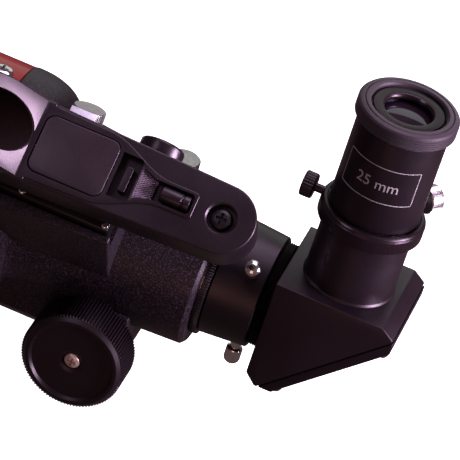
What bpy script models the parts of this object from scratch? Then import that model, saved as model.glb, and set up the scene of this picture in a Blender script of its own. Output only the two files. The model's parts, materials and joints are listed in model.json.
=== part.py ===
"""Short refractor telescope: tube, rack-and-pinion focuser, diagonal, eyepiece and red-dot finder.

Metres, +Z up. The origin is the centre of the dovetail bar's bottom face. The optical axis runs
along +X towards the eyepiece, -Y is the side of the near focus knob.
"""

import bmesh
import bpy
from math import asin, atan2, cos, pi, radians, sin, sqrt, tan
from mathutils import Vector

MM = 0.001

# ---------------------------------------------------------------- driving sizes
# clearances
GAP = 0.3 * MM                      # between pieces that rest on each other
SCREW_CLEARANCE = 0.3 * MM          # round a screw's shank, on the radius
RUNNING_CLEARANCE = 0.1 * MM        # round the pinion shaft, on the radius

# main tube and objective
TUBE_RADIUS = 45.0 * MM
TUBE_WALL = 1.5 * MM
TUBE_LENGTH = 187.0 * MM
LENS_RADIUS = TUBE_RADIUS - 4.0 * MM
DEW_SHIELD_RADIUS = TUBE_RADIUS + 7.0 * MM
DEW_SHIELD_WALL = 1.6 * MM
DEW_SHIELD_LENGTH = 67.0 * MM

# dovetail bar and tube rings
DOVETAIL_LENGTH = 180.0 * MM
DOVETAIL_WIDTH = 44.0 * MM
DOVETAIL_HEIGHT = 15.0 * MM
RING_SPACING = TUBE_LENGTH - 87.0 * MM
RING_WIDTH = 20.0 * MM
RING_WALL = 5.7 * MM
RING_FOOT_HEIGHT = 9.4 * MM

# focuser
HOUSING_FRONT_X = 97.0 * MM         # the housing's shoulder, behind the dovetail's centre
HOUSING_LENGTH = 93.0 * MM
HOUSING_WALL = 2.8 * MM
DRAWTUBE_RADIUS = 22.5 * MM
DRAWTUBE_WALL = 1.8 * MM
DRAWTUBE_LENGTH = 103.0 * MM
FOCUS_TRAVEL = 60.0 * MM
GEAR_MODULE = 0.8 * MM
PINION_TEETH = 14
PINION_DROP = DRAWTUBE_RADIUS + 10.5 * MM  # pinion's axis below the optical axis
PINION_FROM_REAR = 34.4 * MM        # pinion's axis ahead of the housing's rear face
KNOB_RADIUS = 20.5 * MM
KNOB_THICKNESS = 17.0 * MM
PINION_SHAFT_RADIUS = 3.0 * MM

# adapter, diagonal and eyepiece
TOOTHED_RING_RADIUS = DRAWTUBE_RADIUS + 3.0 * MM
ADAPTER_RADIUS = DRAWTUBE_RADIUS + 1.5 * MM
ADAPTER_LENGTH = 23.2 * MM
BARREL_RADIUS = 15.85 * MM          # the 1.25 inch barrels
BARREL_PLAY = 0.2 * MM
DIAGONAL_FRONT = 22.9 * MM          # front face ahead of the eyepiece's axis
DIAGONAL_HALF_WIDTH = 22.5 * MM
DIAGONAL_TOP = 20.7 * MM            # top face above the optical axis
SOCKET_TOP = 55.0 * MM
SOCKET_TUBE_RADIUS = BARREL_RADIUS + 1.65 * MM
SOCKET_RING_RADIUS = SOCKET_TUBE_RADIUS + 3.0 * MM
EYEPIECE_RADIUS = BARREL_RADIUS + 1.75 * MM
EYEPIECE_LENGTH = 39.0 * MM
EYE_CUP_RADIUS = EYEPIECE_RADIUS + 2.0 * MM
EYE_CUP_HEIGHT = 7.0 * MM

# finder, in its own frame: u outwards from the optical axis, w across, x along the tube
FINDER_ANGLE = radians(46.2)        # of the outward direction above the near side's horizontal
SHOE_TOP = TUBE_RADIUS + 15.0 * MM
SHOE_FLOOR = SHOE_TOP - 8.0 * MM
FOOT_LENGTH = 44.5 * MM
FOOT_HALF_WIDTH = 16.6 * MM
FINDER_BODY_LOW = SHOE_TOP + 14.0 * MM
FINDER_BODY_HIGH = FINDER_BODY_LOW + 20.0 * MM
FINDER_HALF_WIDTH = 13.0 * MM
WINDOW_RADIUS = 10.5 * MM
BATTERY_COVER_LENGTH = 29.2 * MM
BATTERY_COVER_WIDTH = 22.1 * MM
BRIGHTNESS_KNOB_RADIUS = 8.5 * MM

# round pieces: flat sides per turn
BIG_ROUND = 32
FINE_ROUND = 24
MIDDLE_ROUND = 20
SMALL_ROUND = 10

# ---------------------------------------------------------------- stations that follow
AXIS_HEIGHT = DOVETAIL_HEIGHT + GAP + RING_FOOT_HEIGHT + GAP + TUBE_RADIUS
TUBE_BORE = TUBE_RADIUS - TUBE_WALL
TUBE_REAR_X = HOUSING_FRONT_X - GAP
TUBE_FRONT_X = TUBE_REAR_X - TUBE_LENGTH
HOUSING_REAR_X = HOUSING_FRONT_X + HOUSING_LENGTH
PINION_X = HOUSING_REAR_X - PINION_FROM_REAR
PINION_PITCH_RADIUS = GEAR_MODULE * PINION_TEETH / 2
RING_THICKNESS = 2.8 * MM
DRAWTUBE_REAR_X = HOUSING_REAR_X + GAP + RING_THICKNESS
ADAPTER_FRONT_X = DRAWTUBE_REAR_X + GAP
ADAPTER_REAR_X = ADAPTER_FRONT_X + ADAPTER_LENGTH
DIAGONAL_FRONT_X = ADAPTER_REAR_X + GAP
EYEPIECE_X = DIAGONAL_FRONT_X + DIAGONAL_FRONT
BARREL_BORE = BARREL_RADIUS + BARREL_PLAY

FINISHES = {
    "red_gloss": ((0.28, 0.010, 0.014), 0.2, 0.0),
    "black_moulding": ((0.022, 0.019, 0.022), 0.55, 0.0),
    "black_satin": ((0.018, 0.016, 0.018), 0.35, 0.0),
    "black_gloss": ((0.012, 0.011, 0.013), 0.15, 0.0),
    "black_paint": ((0.016, 0.015, 0.016), 0.4, 0.0),
    "black_anodised": ((0.02, 0.02, 0.022), 0.4, 0.8),
    "rubber": ((0.05, 0.04, 0.05), 0.75, 0.0),
    "chrome": ((0.75, 0.75, 0.76), 0.12, 1.0),
    "silver": ((0.62, 0.62, 0.62), 0.3, 1.0),
    "brass": ((0.55, 0.40, 0.16), 0.35, 1.0),
    "glass": ((0.75, 0.85, 0.80), 0.02, 0.0),
    "coated_glass": ((0.35, 0.10, 0.06), 0.03, 0.0),
    "white_plastic": ((0.80, 0.78, 0.84), 0.5, 0.0),
}


# ---------------------------------------------------------------- modelling helpers
def finish(name):
    """The Principled material of a finish, made once."""
    if name in bpy.data.materials:
        return bpy.data.materials[name]
    colour, roughness, metallic = FINISHES[name]
    made = bpy.data.materials.new(name)
    made.use_nodes = True
    shader = made.node_tree.nodes["Principled BSDF"]
    shader.inputs["Base Color"].default_value = (*colour, 1.0)
    shader.inputs["Roughness"].default_value = roughness
    shader.inputs["Metallic"].default_value = metallic
    return made


def add_object(name, bm, finish_name, parent, at=(0, 0, 0), along=(0, 0, 1)):
    """Turn a bmesh into an object whose local +Z points along a direction of its parent."""
    bmesh.ops.recalc_face_normals(bm, faces=bm.faces)
    mesh = bpy.data.meshes.new(name)
    bm.to_mesh(mesh)
    bm.free()
    mesh.shade_smooth()
    mesh.set_sharp_from_angle(angle=radians(30))
    made = bpy.data.objects.new(name, mesh)
    bpy.context.collection.objects.link(made)
    made.parent = parent
    made.location = at
    made.rotation_euler = Vector((0, 0, 1)).rotation_difference(Vector(along)).to_euler()
    if finish_name:
        mesh.materials.append(finish(finish_name))
    return made


def turned(name, outline, finish_name, parent, at=(0, 0, 0), along=(0, 0, 1), steps=MIDDLE_ROUND):
    """A solid of revolution from (radius, station) points; a loop unless both ends are on the axis."""
    bm = bmesh.new()
    verts = [bm.verts.new((radius, 0, station)) for radius, station in outline]
    edges = [bm.edges.new(pair) for pair in zip(verts, verts[1:])]
    if outline[0][0] > 0 or outline[-1][0] > 0:
        edges.append(bm.edges.new((verts[-1], verts[0])))
    bmesh.ops.spin(
        bm, geom=verts + edges, axis=(0, 0, 1), cent=(0, 0, 0), angle=2 * pi, steps=steps, use_merge=True
    )
    bmesh.ops.remove_doubles(bm, verts=bm.verts, dist=0.002 * MM)
    return add_object(name, bm, finish_name, parent, at, along)


def prism(name, outline, low, high, normal, finish_name, parent, at=(0, 0, 0)):
    """An outline in the plane across the X, Y or Z axis, extruded from low to high along it."""
    places = {
        "X": lambda a, b: (low, a, b),
        "Y": lambda a, b: (a, low, b),
        "Z": lambda a, b: (a, b, low),
    }
    way = {"X": Vector((1, 0, 0)), "Y": Vector((0, 1, 0)), "Z": Vector((0, 0, 1))}[normal]
    bm = bmesh.new()
    face = bm.faces.new([bm.verts.new(places[normal](a, b)) for a, b in outline])
    grown = bmesh.ops.extrude_face_region(bm, geom=[face])["geom"]
    moved = [item for item in grown if isinstance(item, bmesh.types.BMVert)]
    bmesh.ops.translate(bm, verts=moved, vec=way * (high - low))
    return add_object(name, bm, finish_name, parent, at)


def block(name, low, high, finish_name, parent):
    """A box between two corners."""
    outline = [(low[0], low[1]), (high[0], low[1]), (high[0], high[1]), (low[0], high[1])]
    return prism(name, outline, low[2], high[2], "Z", finish_name, parent)


def rod(name, radius, low, high, parent, at=(0, 0, 0), along=(0, 0, 1), steps=SMALL_ROUND):
    """A plain cylinder that serves to cut or to join."""
    outline = [(0, low), (radius, low), (radius, high), (0, high)]
    return turned(name, outline, None, parent, at, along, steps)


def combine(target, tool, operation):
    """Join a helper shape to a piece, or cut it out; the helper itself isn't part of the object."""
    modifier = target.modifiers.new(tool.name, "BOOLEAN")
    modifier.operation = operation
    modifier.solver = "EXACT"
    modifier.object = tool
    tool.hide_render = True
    tool.display_type = "WIRE"


def cut(target, *tools):
    for tool in tools:
        combine(target, tool, "DIFFERENCE")


def join(target, *tools):
    for tool in tools:
        combine(target, tool, "UNION")


def arc(centre, radius, start, end, steps):
    """Points of an arc about a centre, from a start to an end angle in degrees."""
    turns = [radians(start + (end - start) * step / steps) for step in range(steps + 1)]
    return [(centre[0] + radius * cos(turn), centre[1] + radius * sin(turn)) for turn in turns]


def rounded_rectangle(centre, length, width, corner, steps=3):
    """A rectangle with round corners, about a centre."""
    outline = []
    for side_a, side_b, start in ((1, 1, 0), (-1, 1, 90), (-1, -1, 180), (1, -1, 270)):
        middle = (centre[0] + side_a * (length / 2 - corner), centre[1] + side_b * (width / 2 - corner))
        outline += arc(middle, corner, start, start + 90, steps)
    return outline


def empty(name, location, parent=None, turn=(0, 0, 0)):
    made = bpy.data.objects.new(name, None)
    bpy.context.collection.objects.link(made)
    made.location = location
    made.rotation_euler = turn
    made.parent = parent
    return made


def thumb_screw_outline(shank_radius, shank_length, head_radius, head_height, chamfer):
    """A thumb screw with its shank's tip at station 0 and its head at the far end."""
    top = shank_length + head_height
    return [
        (0, 0),
        (shank_radius, 0),
        (shank_radius, shank_length),
        (head_radius - chamfer, shank_length),
        (head_radius, shank_length + chamfer),
        (head_radius, top - chamfer),
        (head_radius - chamfer, top),
        (0, top),
    ]


# ---------------------------------------------------------------- main tube and objective
TUBE_SCREW_X = HOUSING_FRONT_X - 8.0 * MM
TUBE_SCREW_SHANK = 1.9 * MM
TUBE_SCREW_HEAD = 4.5 * MM
TUBE_SCREW_HEAD_HEIGHT = 2.6 * MM
TUBE_SCREW_ANGLES = {"top": 90, "near": 210, "far": 330}
SPIGOT_LENGTH = 17.0 * MM
SPIGOT_RADIUS = TUBE_BORE - GAP
SPIGOT_WALL = 3.7 * MM


def radial(angle):
    """The direction across the optical axis at an angle in degrees from +Y towards +Z."""
    return Vector((0, cos(radians(angle)), sin(radians(angle))))


def tube_screw_holes(target, axis):
    for place, angle in TUBE_SCREW_ANGLES.items():
        hole = rod(
            f"{target.name}_hole_{place}", TUBE_SCREW_SHANK + SCREW_CLEARANCE,
            SPIGOT_RADIUS - 2 * SPIGOT_WALL, TUBE_RADIUS + TUBE_SCREW_HEAD_HEIGHT,
            axis, (TUBE_SCREW_X, 0, 0), radial(angle), 8,
        )
        cut(target, hole)


def main_tube(axis):
    outline = [
        (TUBE_BORE, TUBE_FRONT_X), (TUBE_RADIUS, TUBE_FRONT_X),
        (TUBE_RADIUS, TUBE_REAR_X), (TUBE_BORE, TUBE_REAR_X),
    ]
    tube = turned("main_tube", outline, "red_gloss", axis, along=(1, 0, 0), steps=BIG_ROUND)
    tube_screw_holes(tube, axis)


def tube_screws(axis):
    shank_length = TUBE_WALL + SPIGOT_WALL + GAP
    shank_start = TUBE_RADIUS + GAP - shank_length
    outline = [
        (0, shank_start), (TUBE_SCREW_SHANK, shank_start), (TUBE_SCREW_SHANK, TUBE_RADIUS + GAP),
        (TUBE_SCREW_HEAD, TUBE_RADIUS + GAP), (TUBE_SCREW_HEAD, TUBE_RADIUS + GAP + 1.0 * MM),
        (TUBE_SCREW_HEAD * 0.6, TUBE_RADIUS + GAP + TUBE_SCREW_HEAD_HEIGHT),
        (0, TUBE_RADIUS + GAP + TUBE_SCREW_HEAD_HEIGHT),
    ]
    for place, angle in TUBE_SCREW_ANGLES.items():
        at = (TUBE_SCREW_X, 0, 0)
        turned(f"tube_screw_{place}", outline, "chrome", axis, at, radial(angle), SMALL_ROUND)


CELL_LENGTH = 15.0 * MM
CELL_SPIGOT_LENGTH = 14.0 * MM
CELL_WALL = 3.6 * MM
LENS_LEDGE = 1.5 * MM
LENS_PLAY = 0.4 * MM
CROWN_EDGE = 3.0 * MM
CROWN_FRONT_CURVE = 244.0 * MM      # radii of curvature of the doublet's faces
CROWN_REAR_CURVE = 180.0 * MM
FLINT_EDGE = 9.0 * MM
LENS_SPACING = 0.5 * MM
RETAINER_THICKNESS = 2.5 * MM
CELL_REAR_X = TUBE_FRONT_X - GAP
CELL_FRONT_X = CELL_REAR_X - CELL_LENGTH
FLINT_REAR_X = CELL_REAR_X - GAP
FLINT_FRONT_X = FLINT_REAR_X - FLINT_EDGE
CROWN_REAR_X = FLINT_FRONT_X - LENS_SPACING
CROWN_FRONT_X = CROWN_REAR_X - CROWN_EDGE


def lens_arc(edge_x, curve_radius, bulge, steps=3):
    """A spherical face from the rim to the axis; bulge is -1 towards the front, +1 to the rear."""
    rim_angle = asin(LENS_RADIUS / curve_radius)
    points = []
    for step in range(steps + 1):
        angle = rim_angle * (1 - step / steps)
        sag = curve_radius * (cos(angle) - cos(rim_angle))
        points.append((curve_radius * sin(angle), edge_x + bulge * sag))
    points[-1] = (0, points[-1][1])
    return points


def lens_cell(axis):
    pocket = LENS_RADIUS + LENS_PLAY
    ledge = LENS_RADIUS - LENS_LEDGE
    cell_radius = DEW_SHIELD_RADIUS - DEW_SHIELD_WALL - GAP
    spigot_radius = TUBE_BORE - GAP
    spigot_rear_x = CELL_REAR_X + CELL_SPIGOT_LENGTH
    outline = [
        (pocket, CELL_FRONT_X), (pocket + CELL_WALL, CELL_FRONT_X), (cell_radius, CELL_FRONT_X + CELL_WALL),
        (cell_radius, CELL_REAR_X), (spigot_radius, CELL_REAR_X), (spigot_radius, spigot_rear_x),
        (ledge, spigot_rear_x), (ledge, CELL_REAR_X), (pocket, CELL_REAR_X),
    ]
    turned("lens_cell", outline, "black_paint", axis, along=(1, 0, 0), steps=BIG_ROUND)


def objective(axis):
    crown = lens_arc(CROWN_FRONT_X, CROWN_FRONT_CURVE, -1)[::-1]
    crown += lens_arc(CROWN_REAR_X, CROWN_REAR_CURVE, 1)
    turned("crown_lens", crown, "glass", axis, along=(1, 0, 0))
    flint = lens_arc(FLINT_FRONT_X, CROWN_REAR_CURVE, 1)[::-1]
    flint += [(LENS_RADIUS, FLINT_REAR_X), (0, FLINT_REAR_X)]
    turned("flint_lens", flint, "glass", axis, along=(1, 0, 0))
    retainer_rear_x = CROWN_FRONT_X - GAP
    retainer_front_x = retainer_rear_x - RETAINER_THICKNESS
    outline = [
        (LENS_RADIUS - LENS_LEDGE, retainer_front_x), (LENS_RADIUS, retainer_front_x),
        (LENS_RADIUS, retainer_rear_x), (LENS_RADIUS - LENS_LEDGE, retainer_rear_x),
    ]
    turned("lens_retaining_ring", outline, "black_paint", axis, along=(1, 0, 0), steps=MIDDLE_ROUND)


def dew_shield(axis):
    inner = DEW_SHIELD_RADIUS - DEW_SHIELD_WALL
    rear_x = CELL_REAR_X - 1.0 * MM
    front_x = rear_x - DEW_SHIELD_LENGTH
    lip = 1.2 * MM
    outline = [
        (inner, front_x + lip), (inner + lip / 2, front_x), (DEW_SHIELD_RADIUS - lip / 2, front_x),
        (DEW_SHIELD_RADIUS, front_x + lip), (DEW_SHIELD_RADIUS, rear_x), (inner, rear_x),
    ]
    turned("dew_shield", outline, "black_paint", axis, along=(1, 0, 0), steps=BIG_ROUND)


BAFFLE_FROM_FRONT = 75.0 * MM
BAFFLE_OPENING = 33.0 * MM
BAFFLE_SHEET = 1.0 * MM
BAFFLE_RIM = 6.0 * MM


def tube_baffle(axis):
    outer = TUBE_BORE - GAP
    front_x = TUBE_FRONT_X + BAFFLE_FROM_FRONT
    outline = [
        (BAFFLE_OPENING, front_x), (outer, front_x), (outer, front_x + BAFFLE_RIM),
        (outer - BAFFLE_SHEET, front_x + BAFFLE_RIM), (outer - BAFFLE_SHEET, front_x + BAFFLE_SHEET),
        (BAFFLE_OPENING, front_x + BAFFLE_SHEET),
    ]
    turned("tube_baffle", outline, "black_paint", axis, along=(1, 0, 0))


# ---------------------------------------------------------------- tube rings and dovetail bar
RING_BORE = TUBE_RADIUS + GAP
RING_RADIUS = RING_BORE + RING_WALL
RING_FOOT_HALF_WIDTH = 14.0 * MM
FLANGE_REACH = 16.0 * MM
FLANGE_THICKNESS = 7.0 * MM
FLANGE_HALF_LENGTH = 8.0 * MM
HALF_SPLIT = 0.4 * MM               # half the slit between the upper and the lower half
CLAMP_BOLT_RADIUS = 2.5 * MM
CLAMP_BOLT_SWING = 0.7 * MM         # room for the bolt as the upper half swings up
RING_KNOB_RADIUS = 9.0 * MM
RING_KNOB_HEIGHT = 10.0 * MM
HINGE_Y = RING_RADIUS + 4.0 * MM
HINGE_LUG_RADIUS = 3.2 * MM
HINGE_PIN_RADIUS = 1.4 * MM
HINGE_MIDDLE_HALF = 3.5 * MM
DOVETAIL_SLOPE = radians(15)
BOLT_RADIUS = 3.0 * MM
BOLT_HEAD_RADIUS = 4.6 * MM
BOLT_HEAD_HEIGHT = 5.0 * MM
BOLT_RECESS = 0.8 * MM
BOLT_IN_FOOT = 6.0 * MM
RING_PLACES = {"front": -RING_SPACING / 2, "rear": RING_SPACING / 2}


def half_ring_outline(side):
    """Upper (+1) or lower (-1) half of a ring in the Y-Z plane, clear of the slit between the halves."""
    lift_out = atan2(HALF_SPLIT, RING_RADIUS) * 180 / pi
    lift_in = atan2(HALF_SPLIT, RING_BORE) * 180 / pi
    steps = BIG_ROUND // 2
    outer = arc((0, 0), RING_RADIUS, lift_out, 180 - lift_out, steps)
    inner = arc((0, 0), RING_BORE, 180 - lift_in, lift_in, steps)
    return [(y, side * z) for y, z in outer + inner]


def hinge_lug_outline(side):
    """A lug round the hinge pin that runs into the ring's upper (+1) or lower (-1) half."""
    eye = arc((HINGE_Y, 0), HINGE_LUG_RADIUS, -130, 70, 8)
    root = [(RING_RADIUS - 2.5 * MM, 10.0 * MM), (RING_RADIUS - 1.0 * MM, 1.6 * MM)]
    return [(y, side * z) for y, z in eye + root]


def half_ring(name, x, side, finish_name, axis):
    """One half of a tube ring, with its clamp flange on the near side and hinge lugs on the far one."""
    half = prism(
        name, half_ring_outline(side), x - RING_WIDTH / 2, x + RING_WIDTH / 2, "X", finish_name, axis
    )
    flange_z = sorted((side * HALF_SPLIT, side * FLANGE_THICKNESS))
    flange = block(
        f"{name}_flange", (x - FLANGE_HALF_LENGTH, -RING_RADIUS - FLANGE_REACH, flange_z[0]),
        (x + FLANGE_HALF_LENGTH, -RING_RADIUS + 1.5 * MM, flange_z[1]), None, axis,
    )
    join(half, flange)
    middle = (-HINGE_MIDDLE_HALF, HINGE_MIDDLE_HALF)
    outer = HINGE_MIDDLE_HALF + GAP
    spans = [middle] if side > 0 else [(-RING_WIDTH / 2, -outer), (outer, RING_WIDTH / 2)]
    for number, (start, end) in enumerate(spans):
        lug = prism(f"{name}_lug_{number}", hinge_lug_outline(side), x + start, x + end, "X", None, axis)
        join(half, lug)
    pin_hole = rod(
        f"{name}_pin_hole", HINGE_PIN_RADIUS + SCREW_CLEARANCE, -RING_WIDTH, RING_WIDTH, axis,
        (x, HINGE_Y, 0), (1, 0, 0), 8,
    )
    bolt_play = SCREW_CLEARANCE if side > 0 else CLAMP_BOLT_SWING
    bolt_hole = rod(
        f"{name}_bolt_hole", CLAMP_BOLT_RADIUS + bolt_play, -2 * FLANGE_THICKNESS, 2 * FLANGE_THICKNESS, axis,
        (x, clamp_bolt_y(), 0),
    )
    cut(half, pin_hole, bolt_hole)
    return half


def clamp_bolt_y():
    return -RING_RADIUS - RING_KNOB_RADIUS - 1.0 * MM


def tube_rings(axis):
    for place, x in RING_PLACES.items():
        half_ring(f"ring_upper_{place}", x, 1, "black_paint", axis)
        lower = half_ring(f"ring_lower_{place}", x, -1, "black_paint", axis)
        foot_low = DOVETAIL_HEIGHT + GAP - AXIS_HEIGHT
        foot = block(
            f"ring_foot_{place}", (x - RING_WIDTH / 2, -RING_FOOT_HALF_WIDTH, foot_low),
            (x + RING_WIDTH / 2, RING_FOOT_HALF_WIDTH, -RING_BORE - RING_WALL / 2 + 1.6 * MM), None, axis,
        )
        join(lower, foot)
        bolt_hole = rod(
            f"ring_foot_hole_{place}", BOLT_RADIUS + SCREW_CLEARANCE, foot_low - 5 * MM,
            foot_low + BOLT_IN_FOOT + GAP, axis, (x, 0, 0),
        )
        cut(lower, bolt_hole)
        pin = [
            (0, -RING_WIDTH / 2), (HINGE_PIN_RADIUS, -RING_WIDTH / 2),
            (HINGE_PIN_RADIUS, RING_WIDTH / 2), (0, RING_WIDTH / 2),
        ]
        turned(f"ring_hinge_pin_{place}", pin, "silver", axis, (x, HINGE_Y, 0), (1, 0, 0), 8)
        shank = FLANGE_THICKNESS * 2 - 1.0 * MM
        knob = thumb_screw_outline(
            CLAMP_BOLT_RADIUS, shank + GAP, RING_KNOB_RADIUS, RING_KNOB_HEIGHT, 1.0 * MM
        )
        start = FLANGE_THICKNESS - shank
        turned(f"ring_knob_{place}", knob, "black_satin", axis, (x, clamp_bolt_y(), start), steps=SMALL_ROUND)


def dovetail_bar():
    half = DOVETAIL_WIDTH / 2
    top_half = half - DOVETAIL_HEIGHT * tan(DOVETAIL_SLOPE)
    outline = [(-half, 0), (half, 0), (top_half, DOVETAIL_HEIGHT), (-top_half, DOVETAIL_HEIGHT)]
    ends = (-DOVETAIL_LENGTH / 2, DOVETAIL_LENGTH / 2)
    bar = prism("dovetail_bar", outline, ends[0], ends[1], "X", "black_anodised", None)
    head_low = BOLT_RECESS
    head_high = head_low + BOLT_HEAD_HEIGHT
    tip = DOVETAIL_HEIGHT + GAP + BOLT_IN_FOOT
    for place, x in RING_PLACES.items():
        wide = BOLT_HEAD_RADIUS + SCREW_CLEARANCE
        narrow = BOLT_RADIUS + SCREW_CLEARANCE
        stepped = [
            (0, -5 * MM), (wide, -5 * MM), (wide, head_high + GAP), (narrow, head_high + GAP),
            (narrow, 2 * DOVETAIL_HEIGHT), (0, 2 * DOVETAIL_HEIGHT),
        ]
        cut(bar, turned(f"dovetail_hole_{place}", stepped, None, None, (x, 0, 0), steps=SMALL_ROUND))
        bolt = [
            (0, head_low), (BOLT_HEAD_RADIUS, head_low), (BOLT_HEAD_RADIUS, head_high),
            (BOLT_RADIUS, head_high), (BOLT_RADIUS, tip), (0, tip),
        ]
        turned(f"dovetail_bolt_{place}", bolt, "silver", None, (x, 0, 0), steps=SMALL_ROUND)


# ---------------------------------------------------------------- focuser housing
COLLAR_RADIUS = TUBE_RADIUS + 0.3 * MM
COLLAR_LENGTH = 2.0 * MM
DOME_LENGTH = 19.0 * MM             # half axes of the dome behind the collar
BARREL_FRONT_RADIUS = DRAWTUBE_RADIUS + 14.7 * MM
BARREL_REAR_RADIUS = DRAWTUBE_RADIUS + 8.7 * MM
DOME_DEPTH = COLLAR_RADIUS - BARREL_FRONT_RADIUS + 2.4 * MM
FACET_SAG = 0.6 * MM                # extra wall where the barrel's outline has long straight steps
BARREL_WAIST = 0.45                 # exponent of the barrel's taper
REAR_CHAMFER = 1.5 * MM
THROAT_LENGTH = 20.0 * MM
THROAT_RADIUS = DRAWTUBE_RADIUS + 0.5 * MM
PINION_BOX_FRONT_X = HOUSING_FRONT_X + 1.0 * MM
PINION_BOX_REAR_X = PINION_X + 13.4 * MM
PINION_BOX_HALF_WIDTH = DRAWTUBE_RADIUS + 6.5 * MM
PINION_BOX_DEPTH = PINION_DROP + 10.5 * MM
PINION_BOX_FLAT_HALF = 12.0 * MM    # half width of the box's flat underside
PINION_BOX_WALL = 7.0 * MM
PINION_BOX_FLOOR = 4.5 * MM         # the hollow's floor below the pinion's axis
PINION_TIP_RADIUS = PINION_PITCH_RADIUS + GEAR_MODULE
PINION_HALF_WIDTH = 4.5 * MM
RACK_HALF_WIDTH = 3.7 * MM
RACK_TIP_Z = PINION_PITCH_RADIUS - PINION_DROP - GEAR_MODULE
LOCK_SCREW_X = HOUSING_REAR_X - 23.8 * MM
LOCK_SCREW_SHANK = 2.0 * MM
LOCK_SCREW_RISE = 4.1 * MM          # the head's underside above the barrel
LOCK_SCREW_HEAD = 6.0 * MM
LOCK_SCREW_HEAD_HEIGHT = 7.0 * MM
KNURL_CHAMFER = 0.4 * MM


def barrel_radius(x):
    """Outer radius of the housing's barrel, which narrows most just behind the dome."""
    front = HOUSING_FRONT_X + COLLAR_LENGTH + DOME_LENGTH
    share = max(0.0, (x - front) / (HOUSING_REAR_X - front))
    return BARREL_FRONT_RADIUS - (BARREL_FRONT_RADIUS - BARREL_REAR_RADIUS) * share ** BARREL_WAIST


def housing_outside():
    """Outline from the spigot over the collar and the dome to the rear rim."""
    dome_start = HOUSING_FRONT_X + COLLAR_LENGTH
    dome_drop = COLLAR_RADIUS - BARREL_FRONT_RADIUS
    dome_end_angle = pi / 2 - asin(1 - dome_drop / DOME_DEPTH)
    outline = [
        (0, HOUSING_FRONT_X - SPIGOT_LENGTH), (SPIGOT_RADIUS, HOUSING_FRONT_X - SPIGOT_LENGTH),
        (SPIGOT_RADIUS, HOUSING_FRONT_X), (COLLAR_RADIUS, HOUSING_FRONT_X),
    ]
    dome_steps = 4
    for step in range(dome_steps + 1):
        angle = dome_end_angle * step / dome_steps
        outline.append((COLLAR_RADIUS - DOME_DEPTH * (1 - cos(angle)), dome_start + DOME_LENGTH * sin(angle)))
    barrel_front = dome_start + DOME_LENGTH
    barrel_rear = HOUSING_REAR_X - REAR_CHAMFER
    barrel_steps = 4
    for step in range(1, barrel_steps + 1):
        x = barrel_front + (barrel_rear - barrel_front) * step / barrel_steps
        outline.append((barrel_radius(x), x))
    outline += [(BARREL_REAR_RADIUS - REAR_CHAMFER, HOUSING_REAR_X), (0, HOUSING_REAR_X)]
    return outline


def housing_inside():
    """Outline of the hollow: wide in the spigot, then under the barrel's wall, then the throat."""
    past = 5 * MM
    throat_front = HOUSING_REAR_X - THROAT_LENGTH
    barrel_front = HOUSING_FRONT_X + COLLAR_LENGTH + DOME_LENGTH
    spigot_bore = SPIGOT_RADIUS - SPIGOT_WALL
    front = HOUSING_FRONT_X - SPIGOT_LENGTH - past
    outline = [(0, front), (spigot_bore, front), (spigot_bore, HOUSING_FRONT_X)]
    for x in (barrel_front, throat_front - THROAT_LENGTH, throat_front - 3 * MM):
        outline.append((barrel_radius(x) - HOUSING_WALL - FACET_SAG, x))
    rear = HOUSING_REAR_X + past
    outline += [(THROAT_RADIUS, throat_front), (THROAT_RADIUS, rear), (0, rear)]
    return outline


def pinion_box(axis):
    """The box under the barrel that holds the pinion."""
    half = PINION_BOX_HALF_WIDTH
    shoulder = half - PINION_BOX_WALL
    corner = PINION_DROP + 6.5 * MM
    outline = [
        (half, -PINION_DROP / 2), (half, -PINION_DROP), (shoulder, -corner),
        (PINION_BOX_FLAT_HALF, -PINION_BOX_DEPTH), (-PINION_BOX_FLAT_HALF, -PINION_BOX_DEPTH),
        (-shoulder, -corner), (-half, -PINION_DROP), (-half, -PINION_DROP / 2),
    ]
    return prism("pinion_box", outline, PINION_BOX_FRONT_X, PINION_BOX_REAR_X, "X", None, axis)


def pinion_box_hollows(housing, axis):
    """Hollow of the box, pit of the pinion, slot of the rack and bore of the shaft."""
    half = PINION_BOX_HALF_WIDTH
    shoulder = half - PINION_BOX_WALL
    hollow_low = -PINION_DROP - PINION_BOX_FLOOR
    hollow = block(
        "pinion_box_hollow", (PINION_BOX_FRONT_X + 6 * MM, -shoulder, hollow_low),
        (PINION_BOX_REAR_X - 4 * MM, shoulder, -DRAWTUBE_RADIUS + 2 * MM), None, axis,
    )
    pit_half = PINION_TIP_RADIUS + 1.0 * MM
    pit = block(
        "pinion_pit", (PINION_X - pit_half, -PINION_HALF_WIDTH - 2 * MM, -PINION_DROP - pit_half),
        (PINION_X + pit_half, PINION_HALF_WIDTH + 2 * MM, hollow_low + 2 * MM), None, axis,
    )
    slot_half = RACK_HALF_WIDTH + 0.5 * MM
    rack_slot = block(
        "rack_slot", (PINION_BOX_REAR_X - 8 * MM, -slot_half, RACK_TIP_Z - 0.5 * MM),
        (HOUSING_REAR_X + 5 * MM, slot_half, -DRAWTUBE_RADIUS + 4 * MM), None, axis,
    )
    bore = rod(
        "pinion_bore", PINION_SHAFT_RADIUS + RUNNING_CLEARANCE, -2 * half, 2 * half, axis,
        (PINION_X, 0, -PINION_DROP), (0, 1, 0), MIDDLE_ROUND,
    )
    cut(housing, hollow, pit, rack_slot, bore)


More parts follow.
